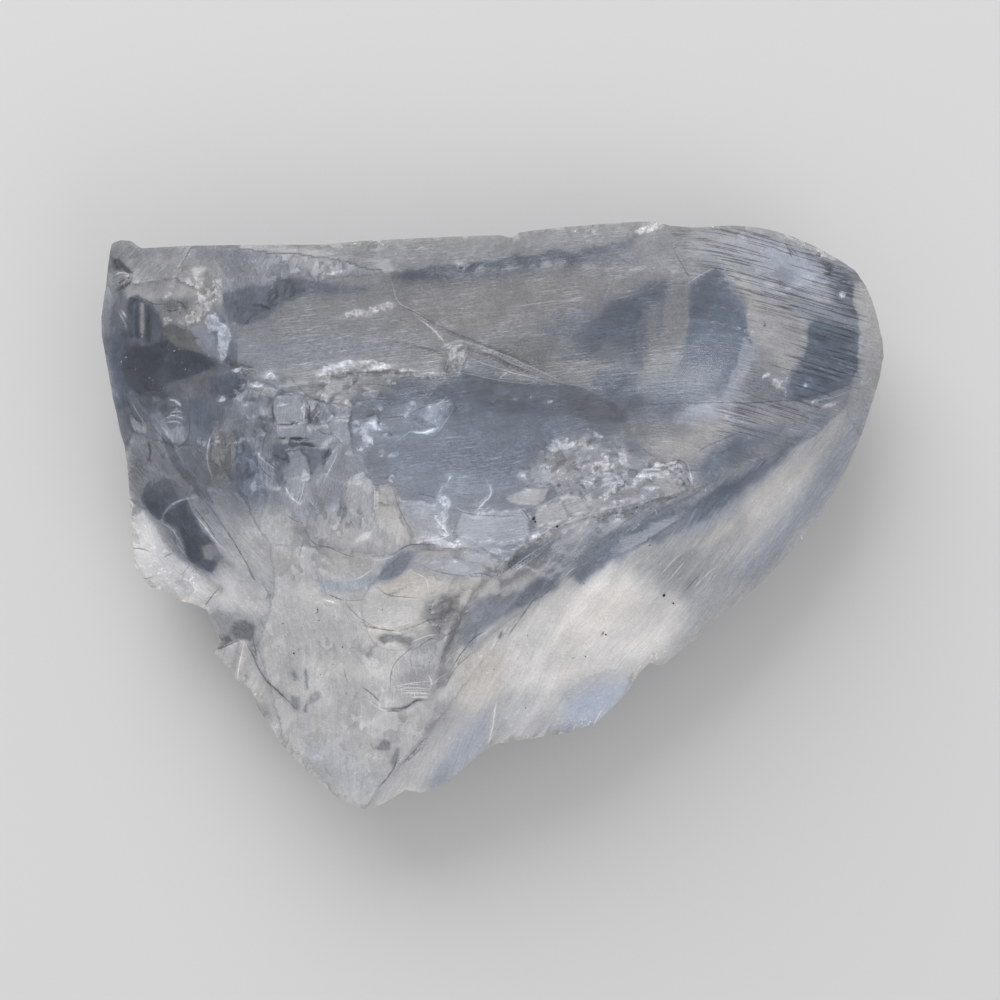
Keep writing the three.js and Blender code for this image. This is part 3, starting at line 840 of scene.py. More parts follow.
for at, half, turn in (((4.5, 4.7), (0.7, 0.3), 10), ((5.7, 4.7), (0.3, 0.3), 0),
        ((6.2, 5.4), (0.5, 0.2), -15), ((6.7, 5.2), (0.4, 0.12), -15), ((7.3, 4.5), (0.3, 0.25), 50),
        ((7.1, 3.3), (0.25, 0.6), 10), ((7.6, 3.1), (0.4, 0.2), 60), ((4.4, 1.5), (0.25, 0.1), 0),
        ((3.1, -1.1), (0.6, 0.12), 5), ((13.2, 1.8), (0.2, 0.14), 0), ((13.6, 2.9), (0.25, 0.2), 0),
        ((2.3, 0.1), (0.15, 0.3), 20), ((1.3, 7.5), (0.16, 0.1), 0), ((3.6, 7.3), (0.14, 0.1), 0),
        ((1, 6.6), (0.08, 0.08), 0), ((2.5, 7.6), (0.06, 0.06), 0), ((-6.4, 2.4), (0.18, 0.25), 0),
        ((-9.3, 7.2), (0.22, 0.22), 0), ((-6.7, 8.7), (0.12, 0.12), 0), ((-6.3, 8.6), (0.1, 0.12), 0),
        ((-7.1, 4.1), (0.22, 0.22), 0), ((-6.4, 4), (0.4, 0.18), 20), ((-7.9, 4.8), (0.25, 0.4), 0),
        ((-10.6, 9.1), (0.5, 0.45), 0), ((3.8, 4.5), (0.3, 0.25), 30), ((9.4, 2.5), (0.4, 0.15), 30),
        ((9.1, -0.7), (0.15, 0.1), 30), ((9.4, -0.5), (0.12, 0.08), 0)):
    fleck(at, half, turn, 0.3, 52, 0.95, (0.64, 0.82))
arch_at = (10.1, 0.8)
aside = np.hypot((x - arch_at[0]) * 0.95, y - arch_at[1]) + 0.1 * cloudy_fine
arch = region((9.4, 3), (10.8, 3.4), (12.1, 3.6), (12.7, 3), (13.1, 1.8), (11.9, 1.5),
    (10.9, 2.6), soft=0.2, wobble=0.2)
arch_wave = np.sin(2 * math.pi * aside / 0.36)
top_z += 0.04 * arch * arch_wave
lay(0.5 * arch * fade(arch_wave, 0.3, 0.9), tone=0.68, frost=0.3)
lay(0.5 * arch * fade(-arch_wave, 0.5, 0.9), tone=0.46)
wash([
    ([(9.4, 4.9), (12.6, 5.7), (14.6, 6.3), (14.9, 5.2), (13.5, 3.5),
      (10.8, 3.5)], 0.5, 0.95, 0.635, 0.25, 0.75),
    ([(7.5, 5.9), (10.7, 6.3), (12.6, 5.9), (10, 4.9), (8.1, 4.9)], 0.5, 0.8, 0.555, 0.0, 0.65),
    ([(13.2, 3.3), (15.1, 5), (17.7, 5.9), (19.6, 5.9), (16.4, 4), (14, 2.7)], 0.35, 0.9, 0.475, -0.7, 0.5),
    ([(9.4, 0.7), (13.2, 1.5), (10.7, 0.3), (7.5, -0.2), (5.5, -1), (6.8, 0.1)], 0.25, 0.7, 0.53, -0.2, 0.7),
])
draw([
    ([(9.4, 4.5), (10, 4), (10.3, 3.8)], 0.05, 0.7, 0.42),
    ([(10.8, 3.4), (11.9, 3.6), (12.6, 3)], 0.06, 0.7, 0.44),
    ([(12.4, 3.4), (12.6, 2.7), (12.7, 2.1)], 0.06, 0.8, 0.74),
    ([(12.9, 4.1), (14.5, 4.9), (16.1, 5.5)], 0.05, 0.6, 0.4),
    ([(10.7, 0.8), (11.3, 1.1), (11.9, 1.2)], 0.05, 0.7, 0.42),
    ([(5.4, 1.7), (5.9, 1.1), (6.2, 0.6)], 0.06, 0.5, 0.44),
])
print("tones above:", marks["tone"].min().round(2), "to", marks["tone"].max().round(2))

# %% [markdown]
# ## Panels and torn edges in the middle
#
# Left of the crushed crest the cleavage shows as flat, clean panels, each a little lower or higher
# than the next, with white torn edges where they meet.

# %% Panels and torn edges
streaky = region((-5.9, 7.5), (-1.5, 7.1), (4.3, 6.3), (6.8, 5.8), (3.3, 4.3), (1.7, 2.5), (0.4, 1.6),
  (-5.9, 2.4), (-6.9, 4.9),
                 soft=0.5, wobble=0.4)
lay(0.7 * streaky, tone=0.515, warm=-0.7, milk=0.55)
lay(0.8 * region((-6.2, 3.5), (0.4, 2.7), (1.7, 1.6), (-2.7, 1.1),
  (-5.9, 1.6), soft=0.5), tone=0.58, warm=-0.6)
PANELS = [
    ([(-5.9, 1), (-3.4, 0.8), (-2.9, 0.1), (-3.1, -1), (-4, -1.5), (-5.2, -1.5),
      (-5.8, -0.2)], (0.02, 0.1), 0.08, 0.655),
    ([(-2.4, -0.6), (-1.8, 0.2), (0.4, 0.6), (2, 0.6), (2.3, -0.2), (2.2, -1.5), (0.4, -1.8),
      (-2.6, -1.5)], (0.0, 0.06), 0.1, 0.655),
    ([(-5.6, -2.7), (-3.4, -2.5), (-1.5, -2.7), (0.4, -3.7), (-0.8, -4), (-3.4, -3.7),
      (-5, -3.5)], (0.05, 0.2), 0.08, 0.65),
    ([(-3.4, -2), (-0.8, -2.2), (1.7, -2), (0.4, -3.5), (-1.5, -2.9)], (0.05, 0.2), 0.05, 0.63),
]
for index, (corners, dip, sink, tone) in enumerate(PANELS):
    panel = region(*corners, soft=0.09, wobble=0.25, fray=0.05, seed=100 + index)
    set_facet(panel, dip, sink)
    lay(panel * 0.9, tone=tone, warm=-0.3, milk=0.78, frost=0.05, crisp=0.5, chips=0.1)
tear = np.maximum(region((-3.5, 1.4), (-3.1, 1.5), (-2.7, 0.8), (-2.9, -0.5), (-2.7, -1.2),
  (-3.1, -1.3), (-3.6, -0.5), (-3.6, -0.1),
                         (-3.3, 0.3), soft=0.1, wobble=0.25), stroke([(-2.6, 2.9), (-2.9, 2.2),
                           (-3.3, 1.7), (-3.6, 1.2)], 0.09, 0.2))
top_z += 0.1 * tear * rough(x, y, 0.5, 121)
lay(0.9 * tear, tone=0.68, frost=0.62, milk=0.9)
grained = region((-4.3, -1.6), (-2.1, -1.3), (0.4, -2), (1.7, -2.7), (0.4, -4), (-1.5, -4.3),
  (-3.4, -2.7), soft=0.4, wobble=0.4)
crush(grained * fade(rough(x, y, 1.2, 55), -0.2, 0.3), 0.4, 0.25, 56, 0.4, (0.54, 0.7), 1.6, 30)
wash([
    ([(-9.1, 2.5), (-7.7, 2.4), (-7.7, -0.4), (-9, 0.1), (-9.5, 1.1)], 0.08, 0.8, 0.665, 0.0, 0.78),
    ([(-7.3, 2.2), (-6.4, 2), (-5.7, -0.2), (-4.9, -1.3), (-6.1, -1.8), (-7.3, -0.8),
      (-7.6, 1.1)], 0.1, 0.8, 0.655, 0.4, 0.8),
    ([(-12, -0.2), (-9.1, -0.5), (-6.2, -1.8), (-7.8, -2.2), (-10.4, -1.8),
      (-11.7, -1.1)], 0.4, 0.7, 0.655, 0.2, 0.8),
])
draw([
    ([(-0.4, 2.3), (-0.1, 1.8), (-0.2, 1.3), (-0.6, 0.9), (-1.1, 0.3)], 0.09, 0.9, 0.76),
    ([(-3.6, -0.2), (-3.1, -0.8), (-2.8, -1.2)], 0.07, 0.9, 0.78),
    ([(-4.7, -1.5), (-3.4, -1.4), (-2.7, -1.1), (-2.4, -0.4)], 0.06, 0.8, 0.72),
    ([(-7.7, 2.4), (-7.5, 1.1), (-7.7, -0.2)], 0.05, 0.8, 0.74),
    ([(-7.5, 2.2), (-7.3, 1.1), (-7.6, -0.1)], 0.04, 0.6, 0.72),
    ([(-6.4, 2), (-5.8, 0.1), (-5, -1.2)], 0.05, 0.6, 0.5),
    ([(-4.7, 1.5), (-3.9, 1.3), (-3.4, 1.2)], 0.05, 0.6, 0.44),
    ([(-2.4, 0.4), (-0.8, 0.1), (1.7, 0.1)], 0.06, 0.5, 0.5),
    ([(1.8, 0.6), (2.2, 0.1), (2.4, -0.2)], 0.05, 0.8, 0.4),
    ([(-2.4, 0.7), (-2, 0.4), (-1.5, 0.3)], 0.07, 0.7, 0.72),
    ([(-5, -2.9), (-3.4, -3.5), (-1.5, -3.8), (-0.2, -3.9)], 0.05, 0.5, 0.48),
    ([(-2.4, -3.9), (-0.8, -3.6), (0.4, -4)], 0.05, 0.5, 0.46), ([(2, -0.8), (2.4, -1.8)], 0.04, 0.5, 0.5),
])
# %% [markdown]
# ## The left end
#
# Here the stone is clearest. A deep window looks dark because one sees right through it, and pale
# tongues of crushed stone hang over it. Ripples run round a small shell, thin ridges wander down to
# the foot, and the foot's broken face is the whitest part of all.

# %% Left end: window and tongues
wash([
    ([(-24, 16.5), (-17.3, 16.5), (-17.2, 13.8), (-18.2, 12.1), (-19.6, 11.8), (-21.2, 12.6), (-21.9, 13.6),
      (-22.7, 14.1), (-23.5, 13.8), (-24, 14.8)], 0.15, 0.9, 0.565, 0.2, 0.75),
    ([(-24.9, 11.6), (-23.9, 11.6), (-23.4, 9.1), (-23.2, 7.5), (-23.5, 6.2), (-24.2, 7.1),
      (-24.8, 10)], 0.15, 0.9, 0.4, -0.9, 0.4),
    ([(-24.3, 16.5), (-24.2, 14.9), (-23.3, 13.2), (-23.4, 11.6), (-24.3, 11.6), (-24.9, 11.9),
      (-24.7, 14.5)], 0.2, 0.8, 0.5, -0.3, 0.6),
    ([(-23.4, 13.5), (-23.3, 14), (-22.7, 14.1), (-21.9, 13.6), (-21.2, 12.6), (-21, 11.4), (-19.6, 10.7),
      (-18.4, 10.2), (-17.7, 9.6), (-18.7, 9), (-19.6, 8.6), (-20.5, 7.6), (-21.9, 7.7), (-22.6, 7.7),
      (-23.2, 8.2), (-23.5, 9.4), (-23.5, 10.7), (-23.2, 11.6),
      (-23.3, 12.7)], 0.1, 1.0, 0.3, -0.7, 0.22),
    ([(-23.5, 11), (-21.9, 11), (-20.9, 10), (-21.2, 8), (-22.6, 7.8),
      (-23.3, 8.7)], 0.25, 0.9, 0.25, -0.6, 0.15),
    ([(-20.7, 10.5), (-19.3, 10.6), (-17.9, 9.7), (-18.9, 9.2), (-20.1, 8.5),
      (-20.5, 9.4)], 0.12, 0.95, 0.24, -1.0, 0.15),
    ([(-23.2, 13.5), (-22.7, 13.9), (-21.9, 13.6), (-21.3, 12.7), (-21, 11.4), (-21.9, 10.9),
      (-23.2, 11)], 0.12, 0.9, 0.42, -0.5, 0.45),
    ([(-22.8, 13.6), (-22.6, 13.6), (-22.5, 11.3), (-22.8, 11.4)], 0.05, 0.9, 0.33, -0.7, 0.2),
    ([(-22.1, 13.5), (-21.9, 13.4), (-21.8, 11.1), (-22.1, 11.2)], 0.05, 0.9, 0.3, -0.7, 0.2),
    ([(-23.2, 15.1), (-21.2, 15.1), (-18.7, 14.9), (-18.5, 14), (-20.1, 14), (-21.2, 13.9), (-21.9, 13.8),
      (-22.7, 14.2), (-23.4, 13.9), (-23.4, 14.6)], 0.12, 0.95, 0.585, 0.1, 0.95),
    ([(-24.3, 16.5), (-23.7, 16.1), (-23, 15.5), (-23.4, 15.5), (-24.2, 15.8)], 0.06, 1.0, 0.3, -0.2, 0.6),
    ([(-21.2, 7.2), (-20.7, 7.3), (-20.6, 6.8), (-21.2, 6.4), (-21.5, 6.8)], 0.07, 1.0, 0.34, -0.5, 0.5),
    ([(-21.9, 5.9), (-20.7, 5.7), (-19.6, 5.8), (-19.2, 5.3), (-19.8, 4.6),
      (-20.7, 4.7)], 0.12, 0.9, 0.56, -0.2, 0.7),
    ([(-19.5, 12.1), (-18.4, 12.2), (-17.9, 11.4), (-17.8, 10.7), (-18.4, 10.8),
      (-18.9, 11.3)], 0.1, 0.9, 0.6, -0.3, 0.8),
    ([(-21.4, 12.7), (-20.3, 12.2), (-19.3, 11.9), (-18.6, 11), (-18.3, 10.4), (-19.6, 10.7), (-20.6, 11),
      (-21, 11.7)], 0.09, 0.95, 0.48, 0.3, 0.5),
    ([(-21, 8.5), (-19.3, 8.9), (-17.7, 9.6), (-17.5, 9.1), (-18.3, 8.1), (-18.9, 7.3), (-19.7, 6.6),
      (-20.5, 7.5)], 0.1, 0.95, 0.445, -0.2, 0.4),
    ([(-20.1, 7.6), (-18.3, 7.5), (-18.9, 5.5), (-19.6, 4.9), (-19.6, 6.5)], 0.2, 0.9, 0.41, -0.7, 0.4),
    ([(-19.3, 12.1), (-18.3, 12.1), (-17.7, 11.5), (-17.5, 10.7), (-17.3, 9.9), (-18.3, 10.3),
      (-18.9, 11.2)], 0.08, 0.9, 0.575, -0.5, 0.7),
    ([(-21.2, 13.8), (-19.3, 13.8), (-19.3, 13.2), (-20.7, 13.1)], 0.12, 0.6, 0.42, -0.2, 0.5),
    ([(-18, 8.9), (-16.5, 9.2), (-15.5, 8.5), (-16.6, 7.7), (-17.7, 7.7)], 0.1, 0.9, 0.36, -0.8, 0.35),
    ([(-17.5, 9.7), (-16.1, 9.9), (-15, 9.2), (-16.5, 9.1), (-17.5, 9)], 0.12, 0.8, 0.41, -0.2, 0.45),
])
stripe = stroke([(-22.4, 13.8), (-22.4, 12.7), (-22.4, 11.5)], 0.16, 0.02, 0.2, 136)
lay(0.9 * stripe, tone=0.62, milk=0.7, warm=0.3, crisp=1.0)
TONGUES = [
    ([(-19.2, 15.6), (-18.4, 15.6), (-18.4, 14.9), (-17.9, 14.3), (-17.9, 13.7), (-18.1, 13.1),
      (-18.7, 12.4), (-19.4, 12.2), (-19.8, 12), (-20.2, 12.3), (-20.1, 12.7), (-19.6, 12.8), (-19, 13.5),
      (-18.8, 14), (-18.9, 14.5), (-19.2, 15.1)], 0.75),
    ([(-18.2, 12.9), (-17.7, 13), (-17.3, 12.5), (-16.8, 12.1), (-16.7, 11.3), (-16.9, 10.5), (-17.3, 9.8),
      (-17.5, 10.5), (-17.5, 11.2), (-17.6, 11.9), (-18.2, 11.8), (-18.4, 12.6)], 0.85),
    ([(-17.9, 15.2), (-17.3, 15.2), (-17.2, 14.1), (-17.3, 13.5), (-17.9, 13.8), (-17.9, 14.6)], 0.62),
    ([(-20.4, 15.4), (-20.1, 15.6), (-20.2, 14.8), (-20.4, 14.3), (-20.8, 13.7), (-21, 13.8),
      (-20.8, 14.5)], 0.62), ([(-21.1, 12.7), (-20.5, 12.8), (-20.3, 12.4), (-21, 12.1)], 0.62),
    ([(-20, 13.5), (-19.7, 13.6), (-19.7, 13.1), (-20, 12.9)], 0.7),
]
for index, (corners, frost) in enumerate(TONGUES):
    tongue = region(*corners, soft=0.08, wobble=0.16, fray=0.02, seed=140 + index)
    top_z += 0.14 * tongue
    crush(tongue, 0.4, 0.06, 142 + index, frost - 0.15, (0.62, 0.7), 1.0, 0)
    lay(0.6 * stroke(corners[:5], 0.05, 0.1, 0.2, 150 + index), tone=0.5)
draw([
    ([(-24.2, 16.5), (-23.7, 16.1), (-23, 15.4)], 0.16, 0.9, 0.3),
    ([(-24.2, 16), (-23.7, 15.8), (-23.1, 15.4)], 0.1, 0.9, 0.34),
    ([(-24.2, 14.9), (-23.7, 15.1), (-23.1, 15.5)], 0.05, 0.9, 0.72),
    ([(-24.2, 14.5), (-23.5, 14.9), (-23.1, 15.3)], 0.07, 0.9, 0.32),
    ([(-24, 14.3), (-23.5, 14.7), (-23.1, 15.2)], 0.05, 0.8, 0.68),
    ([(-22.3, 13.9), (-21.6, 13.6), (-20.9, 13.6)], 0.06, 0.8, 0.3),
    ([(-21, 13.3), (-20.5, 13.1), (-19.8, 13.3)], 0.06, 0.8, 0.34),
    ([(-20.3, 13.8), (-19.8, 13.6), (-19.5, 13.1)], 0.05, 0.8, 0.34),
    ([(-23.7, 13.2), (-23.5, 13), (-23.3, 12.7)], 0.08, 1.0, 0.8),
    ([(-23.5, 12.5), (-23.3, 11.9), (-23.2, 11.3)], 0.07, 0.8, 0.66),
    ([(-19.3, 11.4), (-18.7, 11.4)], 0.05, 0.7, 0.42),
    ([(-20.5, 8.5), (-19.3, 8.9), (-18.4, 9.2)], 0.05, 0.6, 0.6),
    ([(-17.3, 10.3), (-16.1, 9.7), (-14.7, 9.4)], 0.06, 0.7, 0.36),
    ([(-17.3, 9.1), (-16.1, 9.5), (-15.1, 9.1)], 0.06, 0.7, 0.64),
    ([(-17.8, 7.7), (-16.8, 7.8), (-15.5, 8.4)], 0.05, 0.7, 0.6),
    ([(-17.1, 9.9), (-15.8, 9.3), (-15.5, 9.1)], 0.05, 0.7, 0.38),
])
draw([
    ([(-20.8, 7.5), (-20.3, 7.4), (-19.8, 7)], 0.09, 1.0, 0.82),
    ([(-20.7, 7.2), (-20.3, 7.1), (-19.9, 6.8)], 0.05, 0.9, 0.76),
    ([(-20.6, 6.6), (-20.2, 6.8), (-19.8, 6.6)], 0.08, 0.9, 0.72),
    ([(-21, 6.2), (-20.6, 6.4), (-20.1, 6.4), (-19.6, 6.2)], 0.09, 1.0, 0.78),
    ([(-20.9, 6), (-20.3, 6.1), (-19.8, 5.9)], 0.08, 0.9, 0.76),
    ([(-20.7, 6.8), (-20.2, 7), (-19.8, 6.8)], 0.08, 0.9, 0.36),
    ([(-21, 6.4), (-20.5, 6.6), (-20, 6.6)], 0.05, 0.9, 0.34),
    ([(-20.9, 6.1), (-20.3, 6.3), (-19.8, 6.1)], 0.05, 0.8, 0.38),
    ([(-23.2, 7.7), (-22.8, 6.8), (-22.1, 5.7)], 0.22, 0.9, 0.64),
    ([(-23.4, 7.5), (-23, 6.6), (-22.4, 5.4)], 0.08, 0.8, 0.36),
    ([(-22, 6.9), (-21.4, 6.1), (-20.7, 5.2)], 0.22, 0.9, 0.62),
    ([(-21.9, 5.9), (-21.2, 5.1), (-20.6, 4.3)], 0.08, 0.8, 0.34),
    ([(-19.6, 7), (-19.3, 5.9), (-19.5, 4.9), (-20.2, 4.4)], 0.08, 0.8, 0.4),
    ([(-23.9, 13.1), (-23.6, 12.6), (-23.3, 11.8)], 0.08, 0.8, 0.66),
    ([(-23.9, 12.4), (-23.4, 12.2)], 0.05, 0.9, 0.3), ([(-23.9, 12), (-23.4, 11.7)], 0.05, 0.9, 0.3),
    ([(-23.8, 11.5), (-23.3, 11.2)], 0.05, 0.9, 0.32), ([(-23, 8), (-23.3, 7.7)], 0.06, 0.8, 0.7),
    ([(-24.2, 15.4), (-23.7, 15.6), (-23, 15.4)], 0.08, 0.9, 0.66),
    ([(-24, 14.9), (-23.5, 15.2), (-23, 15.3)], 0.08, 1.0, 0.32),
    ([(-24.1, 14.3), (-23.5, 14.7), (-23, 15.2)], 0.09, 1.0, 0.3),
])

# %% [markdown]
# ## Ridges, low windows and foot
#
# Thin ridges wander down from the window, each with painted light on its crest and painted shade on
# its lee side.

# %% Ridges, low windows and foot
LEFT_RIDGES = [
    ([(-23.4, 8.2), (-22.5, 6.7), (-21.7, 5.7), (-20.9, 4.3), (-20.5, 3), (-19.6, 2),
      (-18.4, 1)], 0.36, 0.7),
    ([(-21.9, 7.5), (-21, 5.9), (-20.5, 4.6), (-19.8, 3.3), (-18.9, 2.2), (-18.2, 1.1),
      (-16.8, -1.1)], 0.3, 0.6),
    ([(-19.5, 0.8), (-18.7, -0.3), (-17.7, -1.7), (-16.5, -2.9), (-15.5, -4), (-15, -4.9)], 0.26, 0.6),
    ([(-23.3, 5.5), (-22.5, 4.3), (-22, 3), (-21.7, 2.4)], 0.25, 0.5),
    ([(-19.8, 1.1), (-19.1, -0.2), (-18.2, -1.5), (-17.3, -2.5)], 0.18, 0.4),
]
for index, (points, drop, width) in enumerate(LEFT_RIDGES):
    aside, share = from_line(points, 3.5, 0.18, 150 + index)
    ends = ends_of(share, 0.12, 0.2)
    top_z -= drop * beyond(aside, width) * ends
    # painted shade on each ridge's lee side, painted light on its crest
    lay(0.65 * ends * fade(0.4 - np.abs(aside - 0.38), 0, 0.35), tone=0.41, warm=-0.6)
    lay(0.7 * ends * fade(0.2 - np.abs(aside + 0.14), 0, 0.16), tone=0.63, milk=0.75)
wash([
    ([(-23.3, 7.5), (-22.5, 7.1), (-21.9, 5.5), (-21.9, 2.7), (-22.6, 1.1), (-23, 2.4),
      (-23.3, 4.9)], 0.3, 0.7, 0.5, -0.1, 0.6),
    ([(-21.9, 5.9), (-21.2, 4.9), (-20.9, 3.3), (-21.2, 2.7), (-21.9, 3.3)], 0.25, 0.7, 0.475, 0.0, 0.55),
    ([(-22.5, 1.1), (-21.9, 2.4), (-20.9, 2.6), (-20.1, 2.2), (-19.2, 1.9), (-19.7, 1.2), (-20.6, 0.9),
      (-21.2, -0.3), (-21.9, 0.2)], 0.1, 0.95, 0.385, -0.7, 0.3),
    ([(-22.4, 1), (-21.2, 0.9), (-20.5, 0.8), (-21.2, -0.2), (-21.7, 0.2)], 0.1, 0.9, 0.33, -0.8, 0.25),
    ([(-20.5, 0.7), (-19.6, 1.2), (-19.1, 0.3), (-18.6, -0.8), (-17.8, -1.6), (-17.3, -2.5), (-17.9, -3.6),
      (-18.7, -3.2), (-19.6, -2.2), (-20, -1.2), (-21, -0.2), (-21, 0.2)], 0.1, 1.0, 0.345, -0.9, 0.25),
    ([(-18.7, -1.9), (-18, -1.7), (-17.5, -2.2), (-17.9, -2.8), (-18.4, -2.7)], 0.07, 0.9, 0.5, 0.1, 0.6),
    ([(-17.9, -1.9), (-17.3, -2.3), (-17, -2.6), (-17.8, -2.9)], 0.07, 0.8, 0.43, -0.2, 0.5),
    ([(-21.9, 2), (-20.9, 2.1), (-19.6, 2), (-20.2, 1.6), (-21.2, 1.5)], 0.1, 0.6, 0.47, 0.0, 0.5),
    ([(-21, -0.3), (-20.2, -0.6), (-19.8, -1.3), (-20.2, -1.8), (-20.9, -1.1)], 0.14, 0.8, 0.52, -0.1, 0.6),
    ([(-19.2, 4.9), (-17.9, 4.8), (-17.4, 3), (-17.9, 1.8), (-18.9, 2.4),
      (-20, 4)], 0.4, 0.9, 0.485, -0.1, 0.55),
    ([(-18.9, 7.3), (-18.3, 7.5), (-17.9, 6.2), (-18.2, 4.9), (-19.2, 5),
      (-19.6, 5.5)], 0.25, 0.9, 0.44, -0.8, 0.45),
    ([(-16.6, 5.7), (-15.4, 4.9), (-14.7, 3), (-14.3, 1.7), (-15, 0.4), (-16.3, 1.1), (-16.9, 2),
      (-16.5, 3.9)], 0.5, 0.95, 0.455, -0.8, 0.5),
    ([(-17.8, 2), (-16.1, 1.2), (-14.7, 0.8), (-14.7, -0.2), (-16.6, 0.3),
      (-17.9, 1.2)], 0.5, 0.7, 0.5, -0.2, 0.6),
    ([(-17.8, 5.9), (-17.3, 5.5), (-16.5, 5.6), (-16.3, 4.3), (-16.7, 3.1), (-17.3, 2.2), (-17.9, 2),
      (-18, 3), (-18, 4.4)], 0.06, 0.95, 0.49, 0.15, 0.6),
    ([(-16.4, 7.3), (-15.1, 7.7), (-14.6, 6.4), (-14.7, 5.9), (-15.9, 6.6)], 0.08, 0.9, 0.575, -0.4, 0.7),
    ([(-17.4, 7.1), (-16.4, 7.1), (-14.7, 5.7), (-14.2, 4.3), (-15.5, 5.2),
      (-16.5, 5.9)], 0.2, 0.8, 0.49, -0.4, 0.5),
    ([(-15, 0.6), (-12.9, 0.3), (-12.3, -2.7), (-14.9, -4), (-16.1, -2.7),
      (-15.8, -0.8)], 0.7, 0.9, 0.7, 0.0, 0.85),
    ([(-18.2, -3.7), (-16.6, -3.1), (-14.7, -4.7), (-14.1, -6.6), (-16.5, -6.1),
      (-17.8, -5.3)], 0.5, 0.9, 0.71, 0.1, 0.88),
])
foot = region((-23.1, -0.2), (-22.3, 0.4), (-21.5, -0.8), (-20.9, -1.8), (-20.2, -2.4), (-19, -3.3),
    (-18, -4.1), (-17.3, -4.7), (-17.6, -5.3), (-18.4, -6.1), (-20.6, -5.7),
    (-23.8, -4.7), soft=0.07, wobble=0.15, fray=0.02)
set_facet(foot, (0.22, 0.18), 0.0)
grain = rough(turned(x, y, (0, 0), -14)[1] / 0.35, x / 2.5, 1.0, 165, 3)
lay(foot, tone=0.765 + 0.05 * grain, warm=0.0, milk=0.95, frost=0.3)
# painted light and shade along the first ridges: lighter crests with a shaded band on the lee side
wash([
    ([(-21.7, 5.7), (-21.2, 5.3), (-20.7, 4), (-20.1, 2.7), (-19.3, 1.8), (-18.2, 0.8), (-18.9, 1.1),
      (-20.1, 2), (-20.9, 3.3), (-21.5, 4.7)], 0.07, 0.9, 0.55, -0.1, 0.7),
    ([(-21.2, 5.4), (-20.6, 5), (-20, 3.8), (-19.2, 2.7), (-18.3, 1.6), (-17.8, 0.8), (-18.7, 1.3),
      (-19.7, 2.1), (-20.3, 3.1), (-20.9, 4.3)], 0.06, 0.95, 0.42, -0.7, 0.5),
    ([(-20.2, 4.5), (-18.9, 4.5), (-17.9, 3.5), (-17.8, 2.1), (-18.3, 1.7), (-19.2, 3),
      (-19.8, 3.9)], 0.1, 0.8, 0.475, -0.5, 0.5),
    ([(-21.9, 2.5), (-20.9, 2.7), (-19.8, 2.5), (-18.9, 1.8), (-19.3, 1.7), (-20.2, 2.2), (-21.1, 2.4),
      (-21.9, 2)], 0.06, 0.9, 0.53, -0.1, 0.6),
    ([(-20.5, 1.9), (-19.7, 2.1), (-19.1, 1.7), (-19.5, 1.2), (-20.2, 1.3)], 0.07, 0.8, 0.48, -0.4, 0.5),
])
draw([
    ([(-21.2, -0.3), (-20.8, 0.5), (-20.1, 1), (-18.9, 1.3)], 0.08, 0.9, 0.66),
    ([(-19.6, 0.7), (-18.8, -0.1), (-17.9, -1.3), (-17, -2.2)], 0.08, 0.9, 0.64),
    ([(-19.3, 0.7), (-18.4, -0.3), (-17.5, -1.7)], 0.06, 0.8, 0.36),
    ([(-18.4, 1.1), (-17.3, -0.5), (-16.1, -2.2), (-15.1, -4.1)], 0.06, 0.9, 0.42),
    ([(-22.1, 5), (-21.9, 4.3), (-22.1, 3.5)], 0.1, 0.8, 0.4),
    ([(-21.1, -0.4), (-20.5, -0.8), (-20, -1.6)], 0.06, 0.8, 0.66),
    ([(-15.8, -7.9), (-15.2, -9.1), (-14.6, -10.3), (-13.6, -11.2), (-12.4, -12.4)], 0.08, 0.9, 0.46),
    ([(-17.8, -8.5), (-16.9, -8.2), (-16.1, -7.8)], 0.06, 0.8, 0.46),
    ([(-15.9, -8.2), (-16.1, -9.1), (-16.3, -10.3)], 0.12, 0.9, 0.8),
    ([(-15.4, -7.3), (-15.2, -8.5), (-15, -9.2)], 0.06, 0.7, 0.48),
    ([(-17.7, 5.7), (-18.1, 4.9), (-18.2, 4), (-18.1, 3), (-17.9, 2.2)], 0.09, 0.8, 0.66),
    ([(-17.9, 5.4), (-18, 4.6), (-18, 3.5)], 0.05, 0.8, 0.38),
    ([(-16.4, 5.5), (-16.3, 4.4), (-16.6, 3.3), (-17.3, 2.2)], 0.05, 0.5, 0.42),
    ([(-23, -2), (-22.4, -2), (-21.8, -2.2)], 0.06, 0.8, 0.46),
    ([(-21, -2.6), (-20.5, -2.3)], 0.05, 0.8, 0.48), ([(-19.8, -3.6), (-19.5, -3.2)], 0.04, 0.8, 0.48),
    ([(-18.4, -5.7), (-17.9, -5), (-17.5, -4.5)], 0.07, 0.8, 0.45),
    ([(-22.6, -3.7), (-22.1, -3.9), (-21.6, -3.8)], 0.05, 0.7, 0.5),
    ([(-15.6, -3.3), (-15.4, -3.8), (-15.1, -4.1)], 0.07, 0.8, 0.4),
    ([(-20.7, 0.8), (-20.3, 0.7), (-20.9, 0.2), (-21.1, -0.3)], 0.06, 0.8, 0.6),
    ([(-20.2, -1.8), (-19.3, -2.7), (-18, -3.6)], 0.05, 0.8, 0.66),
    ([(-20.1, -1.5), (-19, -2.5), (-17.8, -3.6)], 0.05, 0.6, 0.62),
    ([(-23.2, 1.1), (-23, 0.8), (-23.1, 0.3)], 0.07, 0.7, 0.78),
    ([(-14.5, -5.3), (-14.3, -4.9), (-14.6, -4.4)], 0.05, 0.5, 0.5),
    ([(-22.1, 4.9), (-22, 4.1), (-21.9, 3.5)], 0.06, 0.7, 0.36),
])
print("left end: window tone", marks["tone"][on("window") > 0].mean().round(2))

